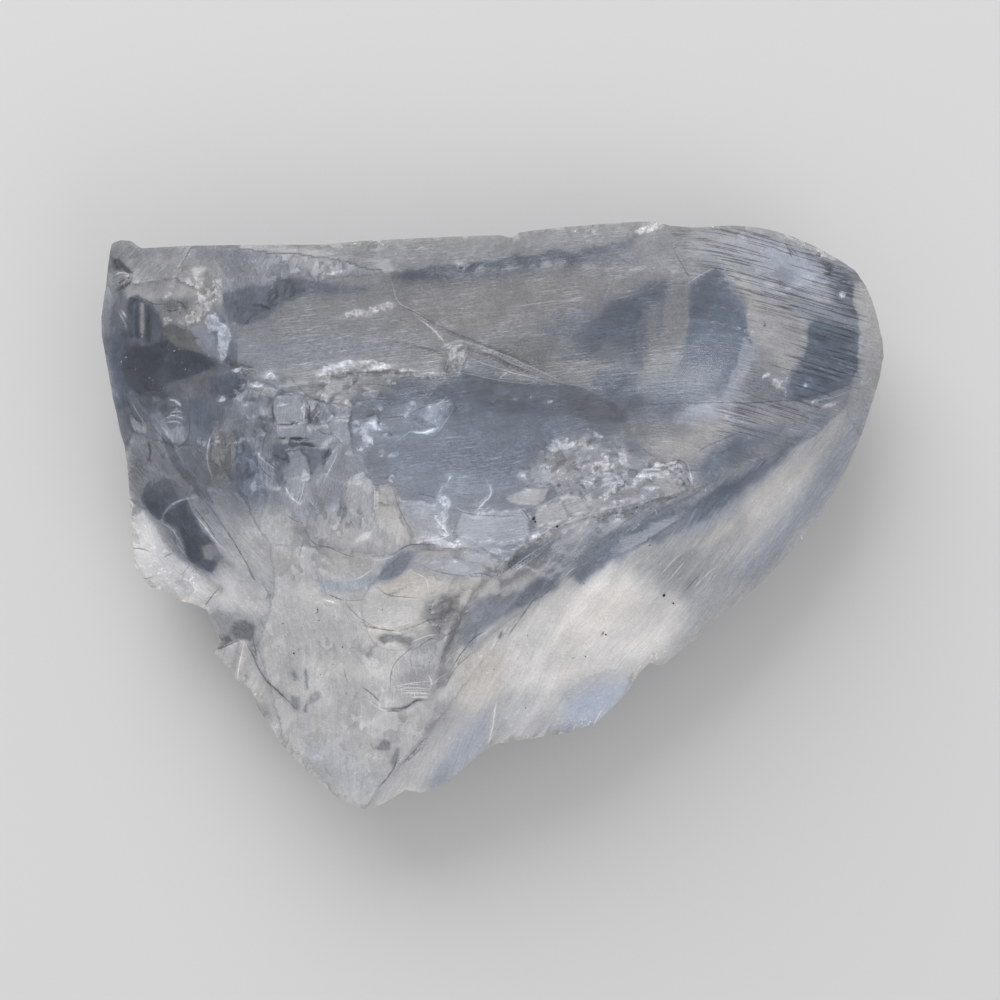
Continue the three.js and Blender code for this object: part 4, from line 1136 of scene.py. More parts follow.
# %% [markdown]
# ## Blocks and scales, left of the middle
#
# The cleavage has let go in small blocks with dark cracks between them and a painted shadow under
# their lower edge, and below the blocks hang a few pointed scales with bright tips.

# %% Blocks and scales
BLOCKS = [
    ([(-14, 7.2), (-13.6, 7.7), (-12.3, 7.7), (-12.1, 7.2), (-12.2, 6.2), (-12.8, 5.9), (-13.7, 5.9),
      (-14, 6.6)], (0.08, 0.1), 0.00, 0.655),
    ([(-13.8, 5.7), (-12.9, 5.9), (-12.3, 6), (-11.9, 5.4), (-12.3, 5),
      (-13.3, 5)], (0.00, 0.25), 0.1, 0.67),
    ([(-13.8, 8.4), (-12.3, 8.5), (-12.2, 7.8), (-13.6, 7.8)], (-0.1, 0.1), -0.04, 0.58),
    ([(-11.9, 5.5), (-10.9, 5.7), (-10.3, 4.9), (-10.9, 4.5), (-11.9, 4.9)], (-0.2, 0.1), 0.05, 0.57),
    ([(-11.5, 7.3), (-10.4, 7.5), (-10.1, 6.3), (-11.2, 5.9)], (-0.2, 0.1), 0.03, 0.57),
    ([(-15.8, 6.4), (-14.7, 6.2), (-14.5, 5.3), (-15.5, 5.7)], (-0.3, 0.1), 0.04, 0.58),
    ([(-10.5, 5.9), (-9.1, 6.3), (-9, 4.9), (-9.4, 4.5), (-10.1, 5)], (0.3, 0.2), 0.03, 0.63),
    ([(-15, 8.7), (-13.9, 9.2), (-13.5, 8.9), (-13.7, 8.2), (-14.7, 8.1)], (0.2, 0.3), -0.05, 0.62),
]
for index, (corners, dip, sink, tone) in enumerate(BLOCKS):
    block = region(*corners, soft=0.06, wobble=0.14, fray=0.02, seed=170 + index)
    set_facet(block, dip, sink)
    lay(block, tone=tone, warm=-0.3, milk=0.7)
blocky = region((-16.9, 7.6), (-15.2, 8.2), (-12.3, 8.5), (-9.8, 7.8), (-9, 4.9), (-10.4, 4.3),
    (-13.6, 4.9), (-15.1, 5.4), soft=0.4, wobble=0.4)
crush(blocky * fade(rough(x, y, 1.2, 171), -0.1, 0.35), 0.55, 0.3, 172, 0.26, (0.4, 0.57), 1.4, 75)
for index, (corners, dip, sink, tone) in enumerate(BLOCKS[:2]):
    lay(region(*corners, soft=0.08, wobble=0.14, fray=0.02, seed=170 + index), tone=tone, warm=-0.3,
      milk=0.7, frost=0.05, crisp=0.8, chips=0.2)
# painted shadow in the zone under the blocks' lower edge
painted_shadow_under_blocks = region((-13.9, 4.7), (-12.9, 5), (-11, 4.5), (-10.1, 4.1), (-11.2, 3.3), (-12.3, 4.1),
    (-13.3, 3.3), (-13.8, 2.1), (-14.2, 3), soft=0.15, wobble=0.2)
lay(painted_shadow_under_blocks, tone=0.42, warm=-0.6, milk=0.55, crisp=0.8)
wash([
    ([(-14.7, 3.5), (-14, 3.8), (-13.5, 3), (-13.3, 2.1), (-13.7, 1.8),
      (-14.2, 2.7)], 0.05, 0.9, 0.43, -0.7, 0.5),
    ([(-11.8, 4.1), (-10.8, 4), (-11.3, 3), (-11.7, 2.2), (-11.8, 3)], 0.07, 0.9, 0.45, -0.5, 0.5),
    ([(-11.3, 2.1), (-10.9, 3.3), (-10.1, 4.1), (-9.7, 4.4), (-10, 3.5),
      (-10.7, 2.6)], 0.06, 0.9, 0.6, -0.2, 0.7),
])
SCALES = [
    ([(-13.1, 4.1), (-12.3, 4.3), (-11.9, 3.8), (-11.7, 3), (-11.9, 2), (-12.4, 0.9), (-12.9, 1.4),
      (-13.3, 2), (-13.1, 2.7), (-13, 3.5)], (0.1, 0.3), 0.6, 0.1),
    ([(-13.1, 2.4), (-12.3, 2.6), (-12, 2.1), (-12.4, 1), (-12.9, 1.4),
      (-13.3, 2)], (0.1, 0.3), 0.67, 0.1),
    ([(-15, 4), (-14.5, 3.6), (-13.9, 3), (-13.6, 1.9), (-14.3, 2.4),
      (-14.9, 3.1)], (0.1, 0.35), 0.58, 0.2),
    ([(-9.8, 4.5), (-9.9, 3.9), (-10.5, 3.1), (-11.2, 2.1), (-11.4, 2), (-10.9, 3.1),
      (-10.4, 4)], (-0.4, 0.2), 0.62, 0.2),
    ([(-9.4, 4), (-8.4, 4.1), (-8.1, 2.9), (-9, 2.5), (-9.4, 3)], (-0.1, 0.2), 0.59, 0.1),
    ([(-12.1, 3), (-11.7, 2.7), (-11.7, 2.3), (-12.2, 2.2)], (0.3, 0.2), 0.78, 1.0),
]
for index, (corners, dip, tone, frost) in enumerate(SCALES):
    scale = region(*corners, soft=0.06, wobble=0.12, fray=0.02, seed=190 + index)
    set_facet(scale, dip, -0.04)
    lay(scale, tone=tone, warm=-0.3, milk=0.72, frost=frost, crisp=0.8, chips=0.1)
draw([
    ([(-13.3, 2), (-12.9, 1.3), (-12.4, 0.9)], 0.08, 1.0, 0.84),
    ([(-12.4, 0.9), (-12.2, 1.5), (-12, 2.2)], 0.06, 1.0, 0.8),
    ([(-13.8, 5.9), (-12.9, 5.9), (-12.1, 6.2)], 0.1, 1.0, 0.34),
    ([(-13.8, 5.8), (-13.7, 5.3), (-13.3, 5)], 0.05, 0.7, 0.68),
    ([(-13.8, 5), (-12.8, 5), (-11.8, 5)], 0.11, 1.0, 0.34),
    ([(-12.4, 4.8), (-11.7, 4.5), (-10.8, 4.5)], 0.13, 1.0, 0.3),
    ([(-12.9, 4.8), (-12.1, 4.8), (-11.2, 4.9)], 0.04, 0.8, 0.7),
    ([(-14, 7.3), (-14.1, 6.6), (-13.8, 5.9)], 0.08, 0.8, 0.44),
    ([(-12.1, 7.6), (-11.7, 7), (-11.8, 5.9)], 0.1, 0.8, 0.42),
    ([(-13.7, 7.1), (-13.1, 7.2)], 0.06, 1.0, 0.78),
    ([(-12.1, 7.3), (-12, 6.7), (-12.1, 6.2)], 0.08, 0.9, 0.76),
    ([(-15.4, 8.5), (-15, 8.3), (-14.6, 8.5)], 0.12, 1.0, 0.86),
    ([(-14.5, 8.9), (-14.1, 9.2), (-13.7, 8.7)], 0.09, 0.9, 0.78),
    ([(-12.9, 8.9), (-12.3, 8.2), (-11.8, 7.7)], 0.05, 0.7, 0.38),
    ([(-10.7, 5.9), (-10, 6.2), (-9.4, 6.3)], 0.05, 0.8, 0.36),
    ([(-9.4, 4.5), (-9.8, 4.9), (-10.4, 5.5)], 0.05, 0.7, 0.38),
    ([(-11.5, 5.9), (-10.9, 5.4), (-10.1, 5.2)], 0.05, 0.7, 0.4),
    ([(-10.9, 2), (-10.4, 3), (-9.8, 4.4)], 0.05, 0.7, 0.7),
    ([(-14.3, 5.5), (-14.6, 4.9), (-14.7, 4.1)], 0.06, 0.6, 0.44),
    ([(-15, 4), (-14.5, 3.5), (-13.8, 3)], 0.05, 0.8, 0.7),
    ([(-15.1, 3.6), (-14.7, 3), (-14.1, 2.5)], 0.05, 0.8, 0.36),
    ([(-11.7, 1.1), (-11.4, 0.7), (-11.2, 1.1)], 0.05, 0.7, 0.72),
])
for at, half in (((-15.1, 8.4), (0.35, 0.16)), ((-14.2, 8.8), (0.35, 0.25)), ((-17.3, 7.5), (0.35, 0.2)),
        ((-12.1, 6.7), (0.12, 0.4)), ((-13.6, 7.2), (0.3, 0.15)), ((-11, 7.8), (0.25, 0.3)),
        ((-8.8, 5.9), (0.4, 0.25)), ((-7.7, 5.9), (0.45, 0.25)), ((-8.1, 5), (0.3, 0.4)),
        ((-8.5, 4.4), (0.25, 0.2)), ((-16.3, 9.4), (0.3, 0.12))):
    fleck(at, half, 10, 0.32, 173, 0.85, (0.6, 0.76))
fleck((-10.7, 9), (0.62, 0.5), 10, 0.32, 174, 0.9, (0.68, 0.8))
shards = region((-11, 9.1), (-5.9, 8.2), (-5, 7.6), (-6.2, 5.9), (-5.9, 4.3), (-8.5, 4.9), (-9.4, 6.3),
  (-11, 7.6), soft=0.35, wobble=0.4)
crush(shards * fade(rough(x, y, 1.1, 174), -0.05, 0.35), 0.45, 0.35, 175, 0.26, (0.42, 0.58), 2.4, 10)
lay(0.6 * region((-9.4, 7.8), (-5, 8.1), (-5.3, 7.3), (-9.1, 7), soft=0.2), tone=0.45, warm=-0.7)
for index, (corners, tone, frost) in enumerate((
    ([(-5.2, 6.3), (-4, 7.1), (-2.5, 7.3), (-2.3, 7), (-3, 6.2), (-3.5, 5.5), (-4.4, 5.3), (-4.9, 5.5)],
      0.53, 0.25),
    ([(-6.1, 6.5), (-5, 7.3), (-4.8, 7), (-5.6, 6.3)], 0.6, 0.5), ([(-9.4, 8.2), (-9, 8.9),
      (-8.7, 8.9), (-9.1, 8.1)], 0.66, 0.6),
    ([(-8.4, 8.1), (-7.1, 8.2), (-7.1, 7.7), (-8.4, 7.7)], 0.56, 0.1), ([(-9.1, 6.1), (-7.3, 6.1),
      (-7.2, 5.5), (-9, 5.5)], 0.64, 0.5),
)):
    shard = region(*corners, soft=0.08, wobble=0.2, fray=0.03, seed=176 + index)
    set_facet(0.7 * shard, (0.15, 0.3), -0.05)
    crush(shard, 0.4, 0.25, 178 + index, frost, (tone - 0.08, tone + 0.1), 2.0, 35)
draw([
    ([(-5.2, 5.4), (-4.3, 5.4), (-3.6, 5.7)], 0.1, 1.0, 0.84),
    ([(-4.7, 7.6), (-4, 7.8), (-3.8, 8)], 0.05, 0.8, 0.74),
    ([(-3.6, 7.2), (-3, 7.6), (-2.9, 7.8)], 0.05, 0.8, 0.74),
    ([(-3.5, 5.4), (-2.7, 6.5), (-2.4, 7.1)], 0.05, 0.8, 0.72),
    ([(-9.1, 7.3), (-7.7, 7.5), (-5.9, 7.5)], 0.04, 0.7, 0.4),
    ([(-5.7, 6.3), (-4.7, 6.9), (-3.6, 7.2)], 0.04, 0.7, 0.42),
    ([(-7.2, 6.3), (-5.9, 6.4), (-5.2, 6.2)], 0.05, 0.7, 0.4),
    ([(-6.2, 4.8), (-5.3, 5.4), (-5, 5.5)], 0.05, 0.6, 0.66),
])

# %% [markdown]
# ## The lower left
#
# Below a wavy step the stone is milky and light. Shallow shells overlap like fish scales, each with a
# thin dark lip, long wavy hackles run down to the edge, and a few small clear facets look dark.

# %% Wavy step and shells
ARCH_LINE = [
    (-13.1, 0.6), (-12.3, -0.3), (-11.5, -1.7), (-10.4, -2.1), (-9.4, -2.4), (-7.8, -2.9), (-6.4, -2.5),
    (-5.3, -1.8), (-4, -1.7), (-2.4, -2.3),
]
aside, share = from_line(ARCH_LINE, 4.0, 0.12)
ends = ends_of(share)
top_z -= 0.3 * beyond(aside, 0.7) * ends
draw([
    ([(-13.1, 0.1), (-12.7, -0.2), (-12.3, -0.3)], 0.05, 0.8, 0.44),
    ([(-12.2, -0.3), (-11.5, -1.6), (-10.4, -2), (-9.4, -2.4), (-8.5, -2.7)], 0.05, 0.7, 0.46),
    ([(-6.4, -2.4), (-5.4, -1.8), (-4.1, -1.7), (-3.6, -1.8)], 0.1, 0.8, 0.42),
    ([(-7.7, -2.7), (-7, -2.7), (-6.4, -2.5)], 0.05, 0.6, 0.74),
    ([(-12.1, -1.5), (-12.3, -2.2), (-12.4, -2.7)], 0.05, 0.5, 0.56),
])
wash([
    ([(-12.3, -0.5), (-11.5, -1.8), (-10.4, -2.2), (-11.5, -2.7), (-12.3, -2)], 0.25, 0.8, 0.64, -0.4, 0.8),
    ([(-11.7, -3.7), (-9.1, -4.1), (-7.2, -3.5), (-5.7, -2.7), (-5.2, -3.1), (-6.9, -4.1), (-9.1, -4.8),
      (-10.9, -4.8)], 0.22, 0.9, 0.625, -0.6, 0.8),
    ([(-6.4, -2.5), (-5.3, -1.9), (-4.3, -2), (-5.2, -2.7), (-6.2, -3.1)], 0.2, 0.8, 0.6, -0.5, 0.75),
    ([(-9.4, -5.3), (-7.7, -5), (-5.6, -5.2), (-4.1, -5.3), (-3.9, -6.1), (-5, -6.7), (-6.4, -7),
      (-8.4, -6.6)], 0.12, 0.95, 0.75, 0.1, 0.9),
    ([(-7.3, -4.5), (-6.3, -3.9), (-5.2, -3.2), (-4.3, -4.7), (-4.7, -5.3),
      (-6.2, -5.2)], 0.07, 0.9, 0.76, 0.35, 0.92),
    ([(-9.4, -2.7), (-7.7, -3.1), (-9.1, -3.9), (-11.2, -3.6), (-11, -2.7)], 0.2, 0.7, 0.72, 0.3, 0.9),
    ([(-5.2, -7.8), (-3.9, -6.9), (-3.4, -7.8), (-3.9, -11), (-5.6, -11),
      (-6.3, -9.6)], 0.25, 0.8, 0.635, 0.0, 0.8),
    ([(-4.3, -5.3), (-3.1, -5), (-2.6, -5.9), (-3.6, -6.9), (-4.5, -6.2)], 0.25, 0.8, 0.59, 0.1, 0.75),
    ([(-8.5, -8.9), (-7.5, -8.2), (-6.2, -8), (-5.5, -8.5), (-6.2, -9.4), (-6.7, -10.2),
      (-7.8, -9.8)], 0.1, 0.9, 0.745, 0.1, 0.92),
    ([(-12.3, -13.3), (-10.4, -14.2), (-7.2, -16.5), (-4.7, -16.8), (-3.4, -15.8), (-2.9, -18), (-7.8, -19),
      (-10.4, -17.1), (-12.3, -15.5)], 0.7, 0.8, 0.695, -0.1, 0.88),
])
lay(0.5 * spot(x, y, (-9.4, -1.5), (5.5, 1.6), 0, 0.7), tone=0.69, warm=0.2, milk=0.85)
SHELLS = [
    ((-6.8, -5.9), (3.3, 1.1), 0.22, 6, (0.0, 0.1), 0.2),
    ((-9, -3.4), (1.8, 0.8), 0.2, -10, (0.0, 0.15), 0.2),
    ((-7.1, -9.1), (1.5, 1.1), 0.2, 20, (0.0, 0.05), 0.2),
    ((-11.2, -7.8), (1.6, 2.2), 0.16, 0, (0.0, 0.1), 0.2),
    ((-5.6, -11.4), (1.8, 0.8), 0.24, 8, (0.0, 0.2), 0.2),
    ((-10.7, -12.9), (2.4, 1.4), 0.14, 40, (0.1, 0.1), 0.2),
    ((-9.4, -11), (1.6, 1.2), 0.14, -20, (0.0, 0.1), 0.2),
    ((-13.6, -4), (1.6, 1.6), 0.15, 30, (0.1, 0.0), 0.2),
    ((-4, -3.4), (2.0, 0.9), 0.2, 10, (0.0, 0.15), 0.2),
]
for index, (centre, half, depth_in, turn, dip, uneven) in enumerate(SHELLS):
    set_bowl(centre, half, depth_in, turn, dip, uneven)
draw([
    ([(-10.4, -5), (-9.9, -5.2), (-9.6, -5.3)], 0.07, 0.9, 0.4),
    ([(-9.6, -5.3), (-9, -5.4), (-8.4, -5.3)], 0.04, 0.6, 0.52),
    ([(-9.4, -5.5), (-8.6, -6.4), (-7.5, -7)], 0.05, 0.6, 0.54),
    ([(-8.2, -7), (-7.1, -7.2), (-5.9, -7.3)], 0.07, 0.9, 0.42),
    ([(-5.9, -7.2), (-4.7, -6.9), (-3.9, -6.4)], 0.05, 0.6, 0.52),
    ([(-9, -6.1), (-8, -6.8), (-6.2, -7), (-4.7, -6.5)], 0.04, 0.5, 0.6),
    ([(-7.3, -4.5), (-6.8, -4.9), (-5.9, -5.1), (-4.7, -5.2)], 0.05, 0.7, 0.5),
    ([(-9, -4), (-8.4, -3.8), (-7.7, -3.4)], 0.1, 0.8, 0.735),
    ([(-5.3, -3.4), (-4.3, -4), (-4.1, -4.8)], 0.06, 0.6, 0.8),
    ([(-10.7, -5.3), (-10.1, -5.5)], 0.1, 1.0, 0.88),
    ([(-5, -8.2), (-5.7, -8.8), (-6.4, -9.6), (-6.5, -11)], 0.07, 0.7, 0.48),
    ([(-9, -3.1), (-8.2, -3), (-7.2, -2.9)], 0.04, 0.4, 0.62),
    ([(-5.2, -8), (-4.3, -7.6), (-3.6, -7.5)], 0.06, 0.9, 0.8),
    ([(-4.8, -8.4), (-4.1, -7.8), (-3.6, -7.8)], 0.04, 0.8, 0.5),
    ([(-6.2, -10.8), (-5.2, -10.6), (-4, -10.5)], 0.05, 1.0, 0.82),
    ([(-6.1, -11), (-5.2, -10.9), (-4, -11)], 0.05, 1.0, 0.86),
    ([(-5.8, -11.2), (-5, -11.2), (-4.1, -11.3)], 0.06, 1.0, 0.92),
    ([(-5.2, -11.5), (-4.7, -11.5), (-4.1, -11.5)], 0.06, 1.0, 0.9),
    ([(-4.1, -10.1), (-3.9, -10.5), (-4, -10.9)], 0.07, 1.0, 0.88),
    ([(-3.8, -10.7), (-3.4, -10.3), (-3, -10.1)], 0.05, 0.8, 0.8),
    ([(-8.3, -10.9), (-7.7, -11.3), (-7.1, -11.9)], 0.06, 0.9, 0.44),
    ([(-7, -12.2), (-6.2, -12.3), (-5.4, -12.1), (-4.8, -11.7), (-4.2, -11.7)], 0.1, 0.9, 0.42),
    ([(-6.8, -12.4), (-5.9, -12.4)], 0.06, 0.7, 0.5),
    ([(-8, -11.7), (-7.3, -12.2), (-6.6, -12.4)], 0.05, 0.5, 0.58),
    ([(-11.4, -6.2), (-11.2, -6.1), (-11.2, -5.9)], 0.07, 0.9, 0.38),
    ([(-14.3, -5.3), (-14.2, -4.9)], 0.05, 0.7, 0.46),
    ([(-4.1, -14), (-5, -14.9), (-5.9, -15.8)], 0.05, 0.9, 0.42),
    ([(-4.1, -14.3), (-4.9, -15.1), (-5.7, -15.8)], 0.04, 0.7, 0.46),
    ([(-7.2, -17.2), (-6.7, -16.6), (-6.3, -16), (-6.1, -15.4)], 0.06, 0.9, 0.42),
    ([(-7.8, -14.5), (-7.6, -14.8)], 0.05, 0.8, 0.44),
    ([(-10.7, -16), (-10.4, -16.5), (-10.1, -16.6)], 0.04, 0.5, 0.54),
    ([(-9.5, -9.8), (-9.4, -10.3), (-9.2, -10.7)], 0.05, 0.5, 0.56),
])
# painted shade under the wavy step: a dark blue-grey patch just below it
wash([
    ([(-6.8, -2.7), (-5.7, -2.1), (-5, -2.5), (-5.4, -3.3), (-6.6, -4), (-7.5, -4.1),
      (-7.3, -3.4)], 0.12, 0.9, 0.55, -0.6, 0.7),
])
gritty = region((-4.1, -5.5), (-3, -4.9), (-2, -4.7), (-1.7, -5.5), (-2.6, -6.9), (-3.4, -7.5),
  (-4.4, -6.8), soft=0.3, wobble=0.3)
crush(gritty, 0.35, 0.2, 77, 0.3, (0.5, 0.62), 1.5, 30)
DARK_FACETS = [
    ([(-7.3, -7.8), (-6.8, -7.5), (-5.9, -7.5), (-5.1, -7.7), (-5.3, -8.1), (-6.2, -8),
      (-7, -8.2)], 0.555, 0.0),
    ([(-16.8, -7.3), (-16.5, -6.6), (-15.8, -6.5), (-15.2, -7.1), (-15.4, -7.8), (-15.9, -8.2),
      (-16.4, -7.8)], 0.455, 0.0),
    ([(-17.6, -8.4), (-17.3, -7.8), (-16.8, -7.5), (-16.6, -8), (-17.2, -8.5)], 0.46, 0.0),
    ([(-12.9, -11.5), (-12.3, -11.5), (-12.3, -12.4), (-12.8, -12.2)], 0.56, -0.2),
    ([(-11.7, -11.4), (-11.1, -11.1), (-11, -11.5), (-11.7, -12.1)], 0.58, -0.1),
    ([(-12.1, -9.9), (-11.9, -9.8), (-11.7, -10.9), (-11.9, -11)], 0.53, -0.1),
    ([(-12.1, -12.3), (-11.9, -11.7), (-11.8, -12.5), (-12, -12.6)], 0.5, -0.1),
    ([(-7.6, -14.8), (-7, -14.1), (-6.6, -14.3), (-6.6, -14.9), (-7.2, -14.9)], 0.54, 0.0),
    ([(-6.6, -15.6), (-6.2, -14.7), (-5.9, -14.7), (-6.1, -15.6), (-6.4, -16.1)], 0.54, 0.0),
    ([(-12.9, -9.9), (-12.6, -9.8), (-12.3, -10.4), (-12.7, -10.4)], 0.57, -0.2),
    ([(-8.2, -8.8), (-7.7, -8.2), (-7.2, -8), (-8, -9.1)], 0.66, 0.0),
]
for index, (corners, tone, warm) in enumerate(DARK_FACETS):
    facet = region(*corners, soft=0.08, wobble=0.1, fray=0.05, seed=210 + index)
    set_facet(facet, (0.35, 0.35), 0.03)
    lay(0.85 * facet, tone=tone - 0.02, warm=warm, milk=0.6, crisp=0.9)

# %% Hackles of the lower left
hackles = np.maximum(region((-13.3, -7.2), (-10.7, -6.9), (-10.9, -11), (-12.3, -11),
  (-13.3, -10.4), soft=0.4, wobble=0.3),
                     region((-9.8, -7.1), (-8.4, -6.9), (-8, -7.8), (-8.5, -9.1),
                       (-9.6, -8.8), soft=0.2, wobble=0.2))
u = x + 0.5 * rough(x, y, 3.0, 220) + 0.1 * np.sin(y * 1.7)
wave = rough(u / 0.3, y / 3.0, 1.0, 221, 2)
top_z += 0.045 * hackles * wave
lay(0.5 * hackles * fade(wave, 0.15, 0.6), tone=0.77)
lay(0.5 * hackles * fade(-wave, 0.15, 0.6), tone=0.6)
for index, points in enumerate((
    [(-15.5, -7.8), (-15.1, -8.8), (-15, -9.6)], [(-15.2, -7.6), (-14.7, -8.8)], [(-16.6, -6.7),
      (-16.9, -7.8)], [(-10.7, -7.3), (-10.6, -9.1), (-10.8, -11)],
    [(-11, -7.8), (-11, -9.1)], [(-13.2, -7.6), (-12.9, -9.8)], [(-9.9, -10.5), (-9.9, -11.4)],
      [(-8.4, -7.8), (-8.7, -9.1)],
)):
    lay(0.5 * stroke(points, 0.06, 0.15, 0.3, 225 + index), tone=0.52)
curls = region((-13.9, -2.7), (-12.3, -2.7), (-12.1, -4), (-13.3, -5), (-14.1, -4.3), soft=0.2)
curl = np.sin(2 * math.pi * (np.hypot(x - (-14.3, -2.5)[0], y - (-14.3, -2.5)[1]) + 0.05 * cloudy) / 0.34)
top_z += 0.03 * curls * curl
lay(0.5 * curls * fade(curl, 0.3, 0.9), tone=0.57)
WEST = [(-15.9, -8), (-15.4, -8.8), (-14.9, -9.9), (-14.1, -10.8), (-13.1, -11.9), (-12.3, -12.5)]
aside, share = from_line(WEST, 3.0, 0.08)
top_z -= 0.3 * beyond(aside, 0.8) * ends_of(share, 0.1, 0.1)
lay(0.6 * fade(0.07 - np.abs(aside), 0, 0.06) * ends_of(share), tone=0.48)
fans = np.arctan2(y - (-16, -6.9)[1], x - (-16, -6.9)[0])
fan = rough(fans * 4.0, x * 0.1, 1.0, 228, 2)
spike = region((-17.9, -8.7), (-16.3, -7.8), (-15.8, -7.8), (-15.1, -9.6), (-14.1, -11.7), (-14.7, -12.2),
    (-15.9, -11), (-17.1, -10.4), soft=0.1)
top_z += 0.1 * spike * fan
lay(spike, tone=0.7 + 0.1 * fan, warm=0.1, milk=0.85, crisp=0.8)
lay(0.9 * region((-16.4, -10.3), (-16.1, -8.5), (-15.9, -8), (-15.9, -9.4),
    (-16.1, -10.5), soft=0.08), tone=0.78, warm=0.3)
print("lower left: mean tone", marks["tone"][on("apron") > 0].mean().round(2))

# %% [markdown]
# ## The wide bevel
#
# The lower right is one broad, slightly rounded break. It is creamy where the stone is thickest and
# bluish towards the edge, with bundles of fine hackles, a shallow shell at the notch and a few chips.

# %% Bevel
bevel = np.maximum(on("bevel", "low_bevel", "shell_notch"), fade(ridge_aside, 0, 0.1) * (ridge_aside < 90))
lengthwise, crosswise = turned(x, y, (0, 0), 50)
phase = crosswise + 0.35 * rough(x, y, 6.0, 240)
brushed = rough(phase / 0.4, lengthwise / 5.0, 1.0, 244, 3)
beams = rough(phase / 0.9, lengthwise / 14.0, 1.0, 246, 2)
BEVEL_FIELDS = [
    ([(13.2, 4.9), (23.4, 7.5), (23.9, 8.4), (24, 6.2), (19.6, -0.2), (15.8, -4), (12.6, -5.3),
      (10.7, -2.7)], 0.9, 0.9, 0.625, -0.2, 0.82),
    ([(-0.8, -8), (1.7, -6.7), (4, -4.8), (6.6, -2.9), (8.2, -2.7), (9.7, -4.1), (12.1, -5.3), (12.6, -6.6),
      (9.4, -8.8), (6.8, -10.1), (3, -11.2), (0.8, -11.3), (-0.3, -10.7)], 0.8, 1.0, 0.795, 0.1, 0.96),
    ([(4.3, -5.3), (7.5, -3.1), (9.4, -4.7), (10, -6.6), (6.8, -7.8),
      (4.3, -8.5)], 0.5, 0.6, 0.8, 0.2, 0.98),
    ([(-2.4, -9.4), (-0.7, -8.2), (1.1, -8.5), (0.1, -11.7), (-1.5, -12.3),
      (-2.7, -11.7)], 0.4, 0.9, 0.745, 0.35, 0.92),
    ([(4.3, -11.8), (6.8, -10.8), (10, -10.3), (9.4, -11.7), (7.6, -13.1), (5.9, -13.9),
      (4.1, -13.9)], 0.35, 0.9, 0.7, -0.8, 0.88),
    ([(0.8, -11.7), (4.3, -11.4), (4.9, -12.6), (4, -14.1), (0.4, -14.3)], 0.4, 0.8, 0.755, -0.1, 0.9),
    ([(-3.9, -15.8), (-2.1, -13.3), (-0.3, -12.4), (-0.4, -14.3), (-2.6, -16.8),
      (-4.3, -17.9)], 0.35, 0.9, 0.675, -0.5, 0.86),
    ([(-4.3, -11.7), (-3.1, -11.7), (-2.6, -12.6), (-3.7, -14.5),
      (-4.4, -13.9)], 0.25, 0.7, 0.625, 0.1, 0.8),
    ([(9.7, -2.7), (13.2, -1.8), (16.1, 0.4), (17.7, -0.2), (14.5, -3.7),
      (11.9, -4.7)], 0.7, 0.8, 0.625, 0.1, 0.84),
    ([(11.9, -2), (13.3, -1.2), (15.2, -0.2), (15.4, -0.7), (13.5, -1.8)], 0.25, 0.7, 0.7, 0.6, 0.88),
    ([(15.8, 1.1), (19.6, 4), (22.8, 7.1), (22.8, 5.9), (19.6, 2),
      (16.4, -0.5)], 0.35, 0.7, 0.69, 0.35, 0.88),
    ([(23.1, 7.5), (23.9, 8.4), (24.2, 6.2), (21.5, 1.1), (17, -4), (15.4, -4.3),
      (18.9, -0.2)], 0.4, 0.8, 0.6, -0.4, 0.78),
]
for index, (corners, soft, amount, tone, warm, milk) in enumerate(BEVEL_FIELDS):
    field = region(*corners, soft=soft, wobble=0.08 + 0.3 * soft, fray=0.0, seed=250 + index)
    edge = (1 - np.abs(2 * field - 1)) * (0.9 if soft > 0.2 else 0.3)
    field = np.clip(field + edge * 0.5 * brushed, 0, 1)
    lay(amount * field * bevel, tone=tone, warm=warm, milk=milk)
